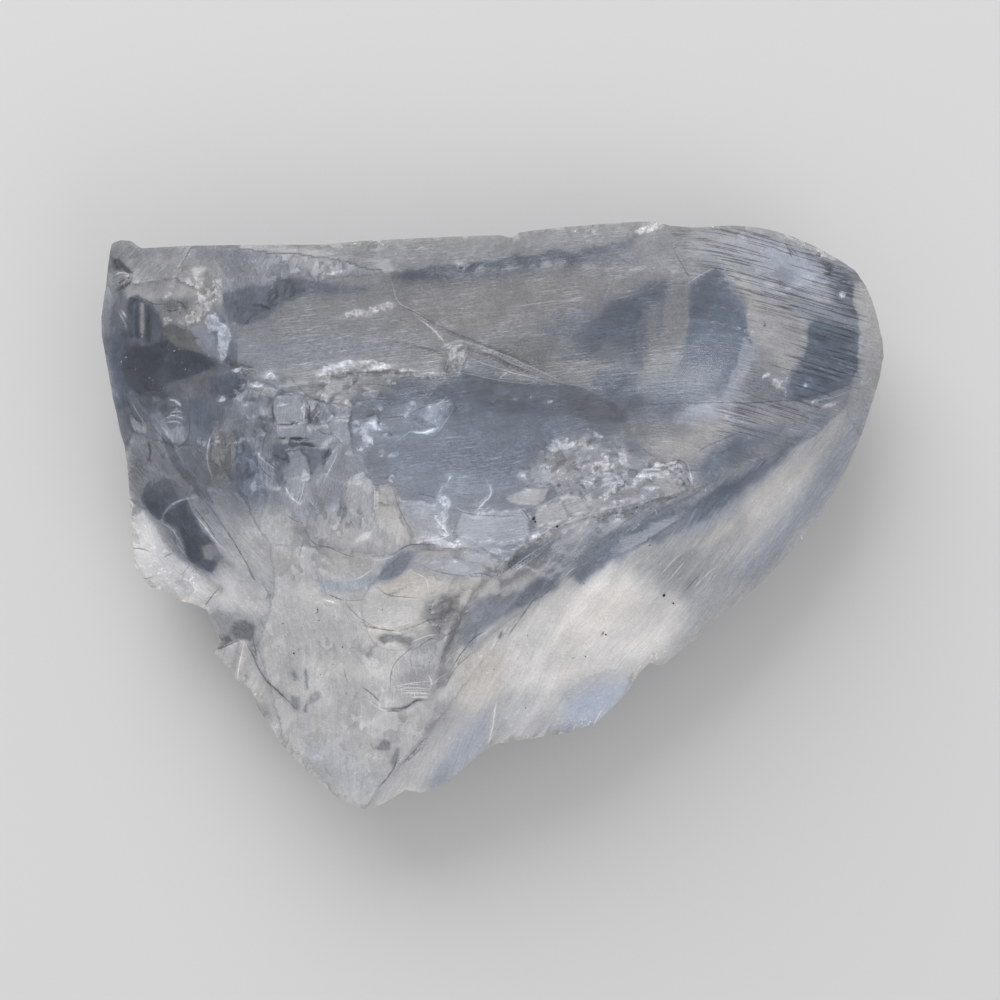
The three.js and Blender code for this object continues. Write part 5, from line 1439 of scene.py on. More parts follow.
# painted shade: most of these washes lay the dark band in the dip below the main ridge
wash([
    ([(-1.8, -8.5), (-2.4, -7.8), (-1.7, -5.9), (-0.1, -4.9), (1.8, -4.7), (4.3, -3.6), (4, -4.5),
      (1.7, -5.7), (0.4, -6.4),
      (-0.7, -7.3), (-1.3, -8.4)], 0.2, 0.95, 0.455, -0.8, 0.62),
    ([(-3.5, -11), (-3.3, -9.1), (-2.6, -6.9), (-1.5, -5.2), (-1, -5.3), (-1.7, -6.9), (-2.4, -8.8),
      (-2.9, -10.9)], 0.15, 0.9, 0.48, 0.0, 0.68),
    ([(4.4, -3.6), (5.5, -2.7), (6.8, -1.8), (8.4, -0.8), (9.7, -0.3), (11.9, 0.4), (14.2, 1.7),
      (15.9, 2.7), (18, 4.1),
      (21.5, 6.7), (21.4, 6.2), (18.3, 3.5), (15.6, 1.1), (13.2, -0.4), (10.7, -1.5), (8.7, -2),
        (7, -3.3), (5.5, -4.3)], 0.28, 1.0, 0.44,
     -0.8, 0.6),
    ([(10.3, -0.2), (11.9, 0.3), (14.2, 1.6), (15.8, 2.5), (15.4, 1.6), (13.2, 0.1), (11.2, -0.6)],
      0.16, 0.9, 0.4, -0.9, 0.5),
    ([(7.1, -2.2), (8.4, -1.3), (10, -0.6), (12.6, 0.3), (14.2, 1.2), (14, 0.6), (12.6, -0.2),
      (10.3, -1.2), (8.7, -1.8),
      (7.3, -2.6)], 0.15, 0.9, 0.42, -0.8, 0.7),
    ([(0.6, -3.6), (1, -2.9), (2.4, -2), (4.4, -1.2), (3.5, -2.2), (1.7, -3.1)],
      0.09, 0.95, 0.455, -0.7, 0.55),
    ([(0.4, -4.8), (1, -4.4), (2.4, -3.6), (4, -2.6), (3.8, -3.3), (1.7, -4.4), (0.7, -5.1)],
      0.1, 0.9, 0.64, 0.2, 0.82),
    ([(0.3, -4), (1.1, -3.8), (3, -2.7), (4.6, -2.1), (4.3, -2.7), (1.7, -3.9), (0.4, -4.7)],
      0.14, 0.8, 0.49, -0.1, 0.7),
], 270)
bundle = bevel * (spot(x, y, (11.9, -3.7), (3.4, 1.8), 50, 0.6) + spot(x, y, (7.6, -3.5),
  (2.2, 1.0), 50, 0.6)
                  + 0.6 * spot(x, y, (15.8, -2.7), (3, 1.5), 50, 0.6))
bundle = np.clip(bundle + 0.8 * in_band * ends_of(band_share), 0, 1)
bevel = np.maximum(bevel, in_band)
strands = fade(rough(phase / 0.22, lengthwise / 3.5, 1.0, 241, 2), 0.25, 0.7)
gaps = fade(rough(phase / 0.22, lengthwise / 3.5, 1.0, 243, 2), 0.35, 0.8)
top_z += 0.02 * (0.3 + bundle) * bevel * (strands - gaps)
lay(0.4 * bevel * fade(beams, 0, 0.5), tone=marks["tone"] + 0.1, warm=0.2)
lay(0.4 * bevel * fade(-beams, 0, 0.5), tone=marks["tone"] - 0.1)
lay((0.04 + 0.55 * bundle) * bevel * strands, tone=0.8, warm=0.2)
lay((0.03 + 0.4 * bundle) * bevel * gaps, tone=0.5, warm=-0.5)
draw([
    ([(0.8, -3.6), (1.7, -2.9), (2.7, -2.2), (3.8, -1.5)], 0.05, 0.9, 0.72),
    ([(1.2, -3.6), (2.2, -2.9), (3.3, -2.1)], 0.05, 0.8, 0.7),
    ([(-2.6, -9.6), (-2.1, -8.8), (-1.6, -8.2)], 0.07, 0.9, 0.4),
    ([(-1.6, -8.2), (-1, -7.6), (-0.4, -7.3)], 0.05, 0.8, 0.42),
    ([(1, -7.5), (1.3, -7.1), (1.6, -6.7)], 0.05, 0.8, 0.46),
    ([(1.6, -6.7), (2, -6.1), (2.6, -5.3), (3, -5.1)], 0.06, 0.9, 0.42),
    ([(0.3, -7.8), (0.5, -7.6), (0.6, -7.3)], 0.14, 0.6, 0.52),
    ([(4.6, -3.8), (5, -3.4), (5.4, -3.2)], 0.06, 1.0, 0.86),
    ([(9.4, -1.7), (9.9, -1.5), (10, -1.2)], 0.05, 0.9, 0.38),
    ([(10.2, 0.6), (10.4, 0.4), (10.5, 0.1)], 0.05, 0.9, 0.74),
    ([(0.2, -11.7), (0, -13.3), (-0.3, -14.6)], 0.12, 0.7, 0.79),
    ([(2.9, -5.3), (3.4, -4.8), (3.8, -4.5)], 0.07, 0.7, 0.5),
    ([(6.4, -13.3), (6.7, -12.7), (7, -12.2)], 0.12, 0.7, 0.76),
    ([(6.9, -7.6), (7.1, -7.3)], 0.08, 0.8, 0.52),
    ([(-3.1, -11), (-2.6, -9.9), (-1.5, -8.8)], 0.05, 0.5, 0.56),
    ([(-2.2, -8.5), (-1.1, -7.8), (-0.2, -7.1)], 0.04, 0.4, 0.78),
    ([(10.7, -3.7), (11.4, -2.9), (12.1, -2.3)], 0.05, 0.8, 0.8),
    ([(11.2, -4.1), (11.7, -3.5), (12.2, -2.9)], 0.05, 0.8, 0.8),
    ([(12.3, -4.7), (12.8, -4.1), (13.3, -3.5)], 0.05, 0.8, 0.42),
    ([(12.8, -4.5), (13.5, -3.8), (14, -3.3)], 0.05, 0.8, 0.82),
])
for at, half in (((5.7, -13.1), (0.5, 0.3)), ((6.8, -13.6), (0.5, 0.2)), ((4.3, -14), (0.9, 0.12)),
        ((10.3, -8.9), (0.3, 0.3)), ((10.9, -8.5), (0.3, 0.4)), ((-0.6, -14.5), (0.4, 0.14))):
    fleck(at, half, 10, 0.4, 54, 0.62, (0.72, 0.84))
print("bevel: mean tone", marks["tone"][bevel > 0.5].mean().round(2))

# %% [markdown]
# ## Cloudier and clearer patches
#
# The crystal isn't evenly clear. Here and there a patch from half a millimetre to a few across is
# cloudier than the face around it, and so lighter, or clearer, and so darker. Each is a soft oval laid
# over the finished marks, given by its middle, its half sizes, its turn and how much it changes the tone.

# %% Cloudier and clearer patches
# centre, half sizes (mm), turn (degrees), change of tone
CLOUDY_PATCHES = [
    ((-23, 14), (1.0, 0.6), 0, 0.1), ((-22, 12.2), (0.5, 1.4), 0, 0.05),
    ((-20, 14.2), (1.4, 0.6), 0, 0.08), ((-17.3, 8.9), (1.8, 0.6), -12, 0.07),
    ((-22.8, 4.7), (0.4, 0.9), -20, 0.06), ((-20.1, 4), (0.6, 1.8), 25, -0.07),
    ((-17.2, -2.3), (1.6, 0.8), -25, 0.09), ((-15.8, 2.4), (0.9, 1.4), 0, 0.06),
    ((-15.3, -7), (0.8, 0.8), 0, 0.06), ((-17.3, -5.9), (0.6, 0.5), 0, 0.05),
    ((-11.9, -11.5), (1.3, 0.7), 0, 0.08), ((-9.3, -9.8), (2.2, 0.6), -8, 0.08),
    ((-10.4, -13.6), (0.8, 0.7), 0, 0.05), ((-4.7, -6.1), (1.0, 0.8), 0, 0.06),
    ((-7, -7.7), (0.8, 0.6), 0, 0.06), ((-3, -10.2), (0.6, 1.3), -20, 0.1),
    ((-0.2, -6.1), (2.4, 1.1), 40, 0.05), ((-5.1, 4.5), (2.4, 2.8), 0, 0.05),
    ((-1.7, -0.5), (1.8, 2.6), 0, 0.06), ((12.6, 0.3), (3.4, 0.6), 33, 0.07),
    ((17.5, 7.5), (2.2, 2.2), 0, 0.06), ((21, 13.8), (1.6, 1.2), -40, 0.07),
    ((18.5, 0), (1.6, 2.8), -35, 0.06), ((15.9, -1.3), (1.6, 3.0), -30, 0.05),
    ((10, -8.8), (2.0, 1.2), 30, 0.08), ((7.5, -10.4), (3.4, 1.2), 25, 0.06),
    ((5.7, -12.9), (0.9, 0.6), 0, 0.06), ((14.5, 17.9), (3.0, 0.4), 0, 0.05),
    ((-11.7, -4.8), (0.8, 0.7), 0, 0.1), ((-12.3, 15.4), (2.8, 0.7), 3, 0.05),
    ((-2.6, -0.2), (0.5, 1.3), 0, 0.05), ((-2.7, -2.7), (3.2, 1.1), 0, 0.08),
    ((-16.5, -5.7), (1.4, 0.8), -35, 0.05), ((-22, 15.6), (1.6, 0.5), 0, -0.06),
    ((-17.9, 14), (0.8, 1.8), 0, -0.07), ((-22.1, 7.1), (1.2, 0.5), 0, -0.08),
    ((-22.8, 5.9), (0.5, 0.5), 0, -0.08), ((-23, 2.9), (0.6, 1.2), 0, -0.08),
    ((-20, -2.2), (1.0, 0.8), -40, -0.12), ((-14.2, 0), (1.0, 1.4), 0, -0.06),
    ((-14, 3.4), (0.7, 0.5), 0, -0.05), ((-9.1, 8.5), (2.4, 1.3), 0, -0.08),
    ((-14.7, 7.9), (1.8, 0.8), 0, -0.06), ((-1, 10.1), (2.6, 0.9), -10, -0.05),
    ((6.2, 10.5), (4.6, 1.4), 0, -0.05), ((3.2, 3), (0.6, 0.8), 0, -0.08),
    ((7.9, 2.2), (0.6, 0.8), 0, -0.09), ((4.1, 4.7), (0.7, 0.5), 0, -0.06),
    ((4.7, -4), (0.9, 0.5), 0, -0.05), ((-3.1, -7.2), (0.8, 2.2), -20, -0.06),
    ((-9.9, -7.2), (1.4, 0.9), 0, -0.05), ((-13.8, -5.5), (0.6, 1.4), 0, -0.05),
    ((-13.9, -9.6), (0.6, 1.1), 0, -0.05), ((18.9, 14.7), (1.4, 0.8), -30, -0.06),
    ((21, 4.3), (1.0, 0.6), 40, -0.06), ((24, 7.7), (1.0, 2.2), -15, -0.06),
    ((19.8, 17.5), (1.4, 0.5), -25, -0.07), ((-22.7, 6), (0.6, 0.8), 0, -0.08),
    ((-21.8, 7.3), (0.8, 0.5), 0, -0.06), ((-12.9, 4.8), (1.0, 0.7), 0, -0.05),
    ((-15.5, 8), (1.2, 0.6), 0, -0.05), ((-11.5, -3.4), (1.6, 1.3), 0, -0.05),
    ((9.8, 1.7), (1.0, 0.7), 0, -0.06), ((7.9, 0.9), (1.0, 0.6), 0, -0.05),
    ((13.8, 1.6), (4.2, 0.5), 33, -0.06), ((9.2, -2.8), (2.2, 0.9), 35, -0.05),
    ((1, -8), (1.6, 0.7), 40, -0.06), ((-1.5, -6.2), (1.0, 1.4), -30, 0.08),
    ((-2.9, -9.8), (0.4, 1.4), -15, 0.07), ((6.2, -3.6), (1.2, 0.6), 30, 0.07),
    ((17.2, 5.7), (1.8, 0.8), 0, 0.07), ((21, 14), (2.0, 1.2), -30, 0.06),
    ((16.8, 14), (1.6, 0.9), 0, 0.05), ((14.8, 17.2), (2.4, 0.8), 0, 0.05),
    ((-5.7, 6.4), (1.4, 0.8), 0, 0.05), ((-14.2, -4.2), (0.8, 1.0), 0, 0.06),
    ((-17.2, 10.8), (0.6, 1.2), 0, 0.05), ((-23.5, 13.2), (0.6, 1.2), 0, 0.08),
    ((9.7, -7.8), (2.4, 1.0), 30, 0.05), ((-20.2, 0.9), (0.8, 0.6), 0, 0.05),
    ((-17.6, -2.6), (0.8, 0.6), 0, 0.05), ((-14.4, -11), (0.6, 1.2), 0, 0.05),
    ((-5.2, -9.6), (1.2, 0.8), 0, 0.05), ((6.2, -11.2), (3.0, 1.4), 10, 0.05),
    ((-23.7, 16.6), (1.4, 0.6), 0, -0.09), ((-14.7, 16.3), (1.2, 0.6), 0, -0.05),
    ((2.4, -3.5), (2.4, 1.2), 35, -0.08),
]
for centre, half, turn, change in CLOUDY_PATCHES:
    marks["tone"] += change * spot(x, y, centre, half, turn, 0.9)
print("cloudier and clearer patches:", len(CLOUDY_PATCHES))

# %% [markdown]
# ## A bright edge
#
# Light gathers in the thin rim all round, so the last tenth of a millimetre is lighter and warmer.

# %% Bright edge
ring_knots = np.array(ring)
edge_tree = kdtree.KDTree(len(ring_knots))
for index, knot in enumerate(ring_knots):
    edge_tree.insert((x[knot], y[knot], 0), index)
edge_tree.balance()
outer = (x < x.min() + 4) | (x > x.max() - 4) | (y > 11) | (y < 0) | (x < -19)
from_edge = np.full(x.shape, 9.0)
from_edge[outer] = [edge_tree.find((px, py, 0))[2] for px, py in zip(x[outer], y[outer])]
glow = np.exp(-from_edge / 0.14)
lay(0.4 * glow, tone=0.7, warm=0.9, milk=0.85)
nibbled = fade(0.55 + 0.4 * rough(x, y, 1.2, 260) - from_edge, 0, 0.25) * fade(rough(x, y, 2.5, 261),
  -0.1, 0.3)
crush(nibbled, 0.45, 0.3, 262, 0.3, None, 1.0, 0)
print("edge:", int((from_edge < 0.3).sum()), "knots")
# %% [markdown]
# ## Softening the marks
#
# A mark seen through milky stone has a blurred twin. The marks are spread from knot to knot along the
# net's edges, chiefly along the streaks, and mixed with their crisp originals.

# %% Softening
edge_pairs = np.concatenate([net[:, [0, 1]], net[:, [1, 2]], net[:, [2, 0]]])
edge_pairs = np.unique(np.sort(edge_pairs, axis=1), axis=0)
first_end, second_end = edge_pairs.T
slant = (across[first_end] - across[second_end]) / 0.09
pull = 0.12 + np.exp(-np.clip(slant**2, 0, 30))


def spread(values, passes, weights):
    total = 1 + np.bincount(first_end, weights, len(values)) + np.bincount(second_end, weights, len(values))
    for _ in range(passes):
        gathered = values + np.bincount(first_end, weights * values[second_end], len(values))
        gathered = gathered + np.bincount(second_end, weights * values[first_end], len(values))
        values = gathered / total
    return values


SOFT_SHARE = {"tone": 0.5, "warm": 0.7, "milk": 0.6}
for name, soft_share in SOFT_SHARE.items():
    long_blur = spread(marks[name], 26, pull)
    round_blur = spread(marks[name], 10, np.ones(len(pull)))
    marks[name] += soft_share * (1 - marks["crisp"]) * (0.6 * long_blur + 0.4 * round_blur - marks[name])
humps = region((8.5, 10.5), (16.5, 11.5), (17.0, 7.8), (12.0, 6.8), (8.0, 8.0), soft=0.9)
back_humps = region((-18.6, 17.6), (-13, 17.2), (-7, 16.4), (-7, 14.8), (-9.5, 14.6), (-18, 13), soft=0.6)
humps = np.maximum(humps, back_humps)
top_z += humps * (spread(top_z, 90, np.ones(len(pull))) - top_z)
calm = (1 - marks["crisp"]) * np.clip(1 - 2 * marks["frost"], 0, 1)
top_z += calm * (spread(top_z, 2, pull) - top_z)
print("tone spread:", marks["tone"].std().round(3))
# %% [markdown]
# ## The rim and the underside
#
# Seen from above the outline is finely scalloped, because the thin edge has been nibbled all round.
# Between the skin above and the coarser skin below runs a band of rows around the rim. The underside
# is a cleavage face with a few shells, and it is filled in by a Delaunay triangulation, which keeps
# the rim's edges and chooses well-shaped triangles between them.

# %% Rim and underside
RIM_ROWS = 7
LEAST_RIM = 0.35
RIM_INSET = 0.1
ring = np.array(ring)
edge_marks = {name: marks[name][ring] for name in marks}
ring_x, ring_y, ring_top = top_x[ring], top_y[ring], top_z[ring]


def rough_underside(px, py):
    height = underside(px, py)
    for cx, cy, half_x, half_y, depth_in, tilt_x, tilt_y in ((-17.5, 6.0, 6.0, 5.0, 1.6, -0.7, 0.0),
            (-17.0, -4.5, 5.0, 4.0, 1.2, -0.6, -0.4), (20.5, 4.0, 6.0, 5.0, 1.8, 0.7, -0.3),
            (12.0, -3.6, 6.0, 4.0, 1.4, 0.4, -0.6), (2.0, -10.0, 6.0, 3.6, 1.2, 0.2, -0.5),
            (-9.5, -12.5, 5.0, 3.0, 1.0, -0.4, -0.5), (16.0, 15.5, 6.0, 3.4, 1.0, 0.3, 0.8),
            (-3.0, 16.5, 8.0, 2.4, 0.8, 0.0, 1.0)):
        inside = ((px - cx) / half_x) ** 2 + ((py - cy) / half_y) ** 2
        hollow = depth_in * (1 - inside) * 0.5 + tilt_x * (px - cx) * 0.4 + tilt_y * (py - cy) * 0.4
        height = np.where(inside < 1, np.maximum(height, hollow * fade(1 - inside, 0, 0.3)), height)
    off_base = fade(height, 0.02, 0.5)
    height = height + off_base * (0.1 * rough(px, py, 1.8, 301) + 0.22 * facets(px, py, 2.2, 302, 0.25))
    return np.maximum(height, 0.0)


ring_low = np.minimum(rough_underside(ring_x, ring_y), ring_top - LEAST_RIM)
run_x = np.roll(ring_x, -1) - np.roll(ring_x, 1)
run_y = np.roll(ring_y, -1) - np.roll(ring_y, 1)
run = np.hypot(run_x, run_y) + 1e-9
out_x, out_y = -run_y / run, run_x / run
side = np.sign(np.sum(out_x * (ring_x - ring_x.mean()) + out_y * (ring_y - ring_y.mean())))
out_x, out_y = side * out_x, side * out_y
along_rim = np.cumsum(run) / 2
rim_points = []
for index in range(1, RIM_ROWS + 1):
    share = index / RIM_ROWS
    height = ring_top + (ring_low - ring_top) * share
    broken = 0.9 * (1 + rough(along_rim, height * 1.5, 1.3, 31)) + facets(along_rim, height, 0.9, 32, 0.5)
    inset = RIM_INSET * share + 0.1 * np.clip(broken, 0, 3) * min(1, 3 * share)
    rim_points.append(np.stack([ring_x - out_x * inset, ring_y - out_y * inset, height], -1))

core = held.copy()
for _ in range(3):
    inner = core.copy()
    inner[1:-1, 1:-1] &= core[:-2, 1:-1] & core[2:, 1:-1] & core[1:-1, :-2] & core[1:-1, 2:]
    core = inner
coarse = core & (row % 3 == 0) & ((column - row // 3 % 2) % 3 == 0)
flat_x, flat_y = knot_x[coarse], knot_y[coarse]
flat_z = rough_underside(flat_x, flat_y)
plan = [Vector(p) for p in zip(np.append(ring_x, flat_x), np.append(ring_y, flat_y))]
loop_edges = [(k, (k + 1) % len(ring)) for k in range(len(ring))]
plan_faces, plan_ids = (geometry.delaunay_2d_cdt(plan, loop_edges, [], 1, 1e-5)[k] for k in (2, 3))
source = np.array([ids[0] for ids in plan_ids])
under_net = source[np.array(plan_faces)]
thinnest = (ring_top - ring_low).min().round(2)
print("underside:", len(plan_faces), "triangles; rim", thinnest, "mm or more thick")

# %% One closed mesh
top_count = len(x)
rim_index = top_count + np.arange(RIM_ROWS * len(ring)).reshape(RIM_ROWS, len(ring))
levels = np.concatenate([ring[None], rim_index])
corner_a, corner_b = levels[:-1], levels[1:]
corner_c, corner_d = np.roll(corner_b, -1, 1), np.roll(corner_a, -1, 1)
rim_faces = np.concatenate([
    np.stack([corner_a, corner_b, corner_c], -1).reshape(-1, 3),
    np.stack([corner_a, corner_c, corner_d], -1).reshape(-1, 3),
])
under_index = np.concatenate([rim_index[-1], top_count + rim_index.size + np.arange(len(flat_x))])
points = np.concatenate([
    np.stack([top_x, top_y, top_z], -1), *rim_points, np.stack([flat_x, flat_y, flat_z], -1),
])
triangles = np.concatenate([net, rim_faces, under_index[under_net]])


def make_mesh(name, places, faces):
    mesh = bpy.data.meshes.new(name)
    mesh.from_pydata((places * MM).tolist(), [], faces.tolist())
    work = bmesh.new()
    work.from_mesh(mesh)
    bmesh.ops.recalc_face_normals(work, faces=work.faces)
    volume = work.calc_volume(signed=True)
    if volume < 0:
        bmesh.ops.reverse_faces(work, faces=work.faces)
    loose = sum(1 for edge in work.edges if len(edge.link_faces) != 2)
    work.to_mesh(mesh)
    work.free()
    mesh.shade_smooth()
    return mesh, abs(volume) / MM**3, loose


SHARP_FROM = 38
mesh, volume, loose = make_mesh("petalite_skin", points, triangles)
mesh.set_sharp_from_angle(angle=math.radians(SHARP_FROM))
stone = bpy.data.objects.new("petalite_skin", mesh)
bpy.context.scene.collection.objects.link(stone)
print("skin:", len(triangles), "triangles,", round(volume), "mm3, open edges:", loose)

# %% [markdown]
# ## Marks carried to the mesh
#
# The marks laid on above become attributes of the mesh's points, which the finish reads. The rim
# carries its edge's marks a ragged way down, and below them, and on the underside, the stone is plain
# and milky with a little noise.

# %% Marks on the mesh
FLAT_MARKS = {"tone": 0.6, "warm": 0.0, "milk": 0.7, "frost": 0.15, "comb": 0.0, "crisp": 0.0, "chips": 0.4}
rim_height = np.concatenate([place[:, 2] for place in rim_points])
rim_run = np.tile(along_rim, RIM_ROWS)
rim_share = np.repeat(np.arange(1, RIM_ROWS + 1) / RIM_ROWS, len(ring))
carried = fade(0.75 - rim_share + 0.5 * rough(rim_run, rim_height * 1.5, 1.8, 315), 0, 0.5)
for name, top_values in marks.items():
    plain = FLAT_MARKS[name] + (0.05 * rough(rim_run, rim_height, 2.4, 316) if name == "tone" else 0.0)
    rim_values = plain + (np.tile(edge_marks[name], RIM_ROWS) - plain) * carried
    noise_here = 0.06 * rough(flat_x, flat_y, 3.0, 310) if name in ("tone", "milk") else 0.0
    under_values = np.full(len(flat_x), FLAT_MARKS[name]) + noise_here
    values = np.concatenate([top_values, rim_values, under_values])
    mesh.attributes.new(name, "FLOAT", "POINT").data.foreach_set("value", np.clip(values, -1, 1))
streak = np.zeros((len(points), 3))
streak[:, 0] = np.concatenate([across, rim_height, flat_y])
streak[:, 1] = np.concatenate([along, rim_run, flat_x])
mesh.attributes.new("streak", "FLOAT_VECTOR", "POINT").data.foreach_set("vector", streak.ravel())
for name, (signed, unsigned, strength) in thin_lines.items():
    line = np.full((len(points), 3), 9.0)
    line[:top_count] = np.stack([signed, unsigned, strength], -1)
    line[:, 2] *= line[:, 1] < 8
    mesh.attributes.new(name, "FLOAT_VECTOR", "POINT").data.foreach_set("vector", line.ravel())
print("marks:", ", ".join(attribute.name for attribute in mesh.attributes if attribute.domain == "POINT"))
# %% [markdown]
# ## Writing a finish
#
# A finish is a tree of small nodes. To keep it readable, a wire between nodes is wrapped in a class
# that knows plus, minus and times, so that `1 - frost` adds its own Math node. Every other node is
# made by one method, which sets the node's choices first and then its values and links.

# %% Wires and finishes
class Wire:
    def __init__(self, finish, socket):
        self.finish = finish
        self.socket = socket

    def maths(self, operation, first, second):
        return self.finish.node("ShaderNodeMath", {"operation": operation}, {0: first, 1: second})

    def __add__(self, other):
        return self.maths("ADD", self, other)

    def __radd__(self, other):
        return self.maths("ADD", other, self)

    def __sub__(self, other):
        return self.maths("SUBTRACT", self, other)

    def __rsub__(self, other):
        return self.maths("SUBTRACT", other, self)

    def __mul__(self, other):
        return self.maths("MULTIPLY", self, other)

    def __rmul__(self, other):
        return self.maths("MULTIPLY", other, self)

    def __pow__(self, other):
        return self.maths("POWER", self, other)


class Finish:
    def __init__(self, name):
        self.material = bpy.data.materials.new(name)
        self.material.use_nodes = True
        self.tree = self.material.node_tree
        self.tree.nodes.clear()

    def node(self, kind, settings=None, values=None, output=0):
        made = self.tree.nodes.new(kind)
        for name, value in (settings or {}).items():
            setattr(made, name, value)
        for key, value in (values or {}).items():
            if isinstance(value, Wire):
                self.tree.links.new(value.socket, made.inputs[key])
            else:
                made.inputs[key].default_value = value
        return Wire(self, made.outputs[output]) if made.outputs else None

    def mark(self, name, output="Fac"):
        return self.node("ShaderNodeAttribute", {"attribute_name": name}, output=output)

    def blend(self, share, first, second):
        made = self.tree.nodes.new("ShaderNodeMix")
        made.data_type = "RGBA"
        for index, value in ((0, share), (6, first), (7, second)):
            if isinstance(value, Wire):
                self.tree.links.new(value.socket, made.inputs[index])
            else:
                made.inputs[index].default_value = value
        return Wire(self, made.outputs[2])

    def tinted(self, colour, amount):
        return self.node("ShaderNodeVectorMath", {"operation": "SCALE"}, {0: colour, 3: amount})

    def end(self, shader):
        self.node("ShaderNodeOutputMaterial", {}, {"Surface": shader})
        return self.material
# %% [markdown]
# ## The stone's finish
#
# Petalite is glass-clear in places and milky in others. Two shaders are mixed by the milky mark: a
# clear one that lets light through and bends it, and a milky one that scatters it. Details too fine
# for the net are drawn here: hair-thin streaks that follow the hackles, crisp crushed crystal where
# the frost mark is strong, dark steps on the combed faces, small tilted breaks on chipped ground with
# painted light and shade that follows each tilt, thin dark lines along the cracks and thin painted
# glints.

# %% Petalite
GAIN = 1.17
COOL, CREAM = (0.72, 0.94, 1.33, 1), (1.1, 1.0, 0.87, 1)
petalite = Finish("petalite_stone_finish")
tone, warm, milk = petalite.mark("tone"), petalite.mark("warm"), petalite.mark("milk")
frost, comb, chips = petalite.mark("frost"), petalite.mark("comb"), petalite.mark("chips")
streaks = petalite.mark("streak", "Vector")
place = petalite.node("ShaderNodeTexCoord", {}, {}, "Object")


def streak_noise(across_rate, along_rate, detail=2.0):
    drawn_out = petalite.node("ShaderNodeVectorMath", {"operation": "MULTIPLY"}, {
        0: streaks, 1: (across_rate, along_rate, 1.0),
    })
    return petalite.node("ShaderNodeTexNoise", {"noise_dimensions": "2D"}, {
        "Vector": drawn_out, "Scale": 1.0, "Detail": detail, "Roughness": 0.6,
    })


def point_noise(scale, detail=2.0):
    inputs = {"Vector": place, "Scale": scale, "Detail": detail, "Roughness": 0.65}
    return petalite.node("ShaderNodeTexNoise", {}, inputs)


def small_breaks(across_rate, along_rate):
    """Small flat breaks, one to a cell, each with a lightness and a tilt of its own; the tilt also serves as
    painted shading across the break.
    """
    wavy = petalite.node("ShaderNodeVectorMath", {"operation": "MULTIPLY_ADD"}, {
        0: streaks, 1: (across_rate, along_rate, 1.0), 2: bends,
    })
    flat_cells = {"voronoi_dimensions": "2D"}
    cell = petalite.node("ShaderNodeTexVoronoi", flat_cells, {"Vector": wavy, "Scale": 1.0}, "Color")
    middle = Wire(petalite, cell.socket.node.outputs["Position"])
    away = petalite.node("ShaderNodeVectorMath", {"operation": "SUBTRACT"}, {0: wavy, 1: middle})
    lean = petalite.node("ShaderNodeVectorMath", {"operation": "SUBTRACT"}, {0: cell, 1: (0.5, 0.5, 0.5)})
    tilt = petalite.node("ShaderNodeVectorMath", {"operation": "DOT_PRODUCT"}, {0: away, 1: lean}, "Value")
    lightness = petalite.node("ShaderNodeSeparateColor", {}, {"Color": cell}, "Blue")
    return lightness - 0.5, tilt


def ramp(value, start, end):
    return petalite.node("ShaderNodeMapRange", {"interpolation_type": "SMOOTHSTEP"}, {
        "Value": value, "From Min": start, "From Max": end,
    })


def thin_line(name, half):
    """A line drawn where the signed distance to it, carried by the net, passes through nought."""
    parts = petalite.node("ShaderNodeSeparateXYZ", {}, {"Vector": petalite.mark(name, "Vector")})
    sides = [Wire(petalite, parts.socket.node.outputs[index]) for index in range(3)]
    away = petalite.node("ShaderNodeMath", {"operation": "ABSOLUTE"}, {0: sides[0]})
    uneven = away + (grain - 0.5) * 0.1
    return ramp(uneven, half, half * 0.3) * ramp(sides[1], 0.3, 0.2) * sides[2]


silk = streak_noise(5.5, 0.45)
fine = streak_noise(11.0, 2.6, 1.0)
hairs = ramp(streak_noise(7.0, 0.6), 0.57, 0.72) * ramp(milk, 0.86, 0.7)
stairs = streak_noise(4.2, 0.16)
steps = ramp(stairs, 0.545, 0.575) * ramp(stairs, 0.72, 0.58)
grit = point_noise(9000.0)
bends = streak_noise(2.2, 1.6, 0.0)
broad_light, broad_tilt_and_shade = small_breaks(1.0, 0.7)
small_light, small_tilt_and_shade = small_breaks(3.0, 1.9)
grain = point_noise(3000.0)
cloud = point_noise(420.0)
crystal = small_breaks(7.0, 6.0)[0] + 0.5
flecks = ramp(point_noise(2600.0, 1.0), 0.7, 0.76)
crushed = ramp(frost + (grain - 0.5) * 0.9 + (crystal - 0.5) * 0.25, 0.46, 0.6)
crack, glint = thin_line("crack", 0.055), thin_line("glint", 0.05)
shade = tone + (silk - 0.5) * 0.07 + (grit - 0.5) * 0.16 + (grain - 0.5) * 0.09 + (cloud - 0.5) * 0.12
patchy = ramp(cloud, 0.4, 0.62) * 0.9 + 0.25
shade = shade + (fine - 0.5) * (0.34 - milk * 0.26) * patchy * ramp(chips, 0.6, 0.1)
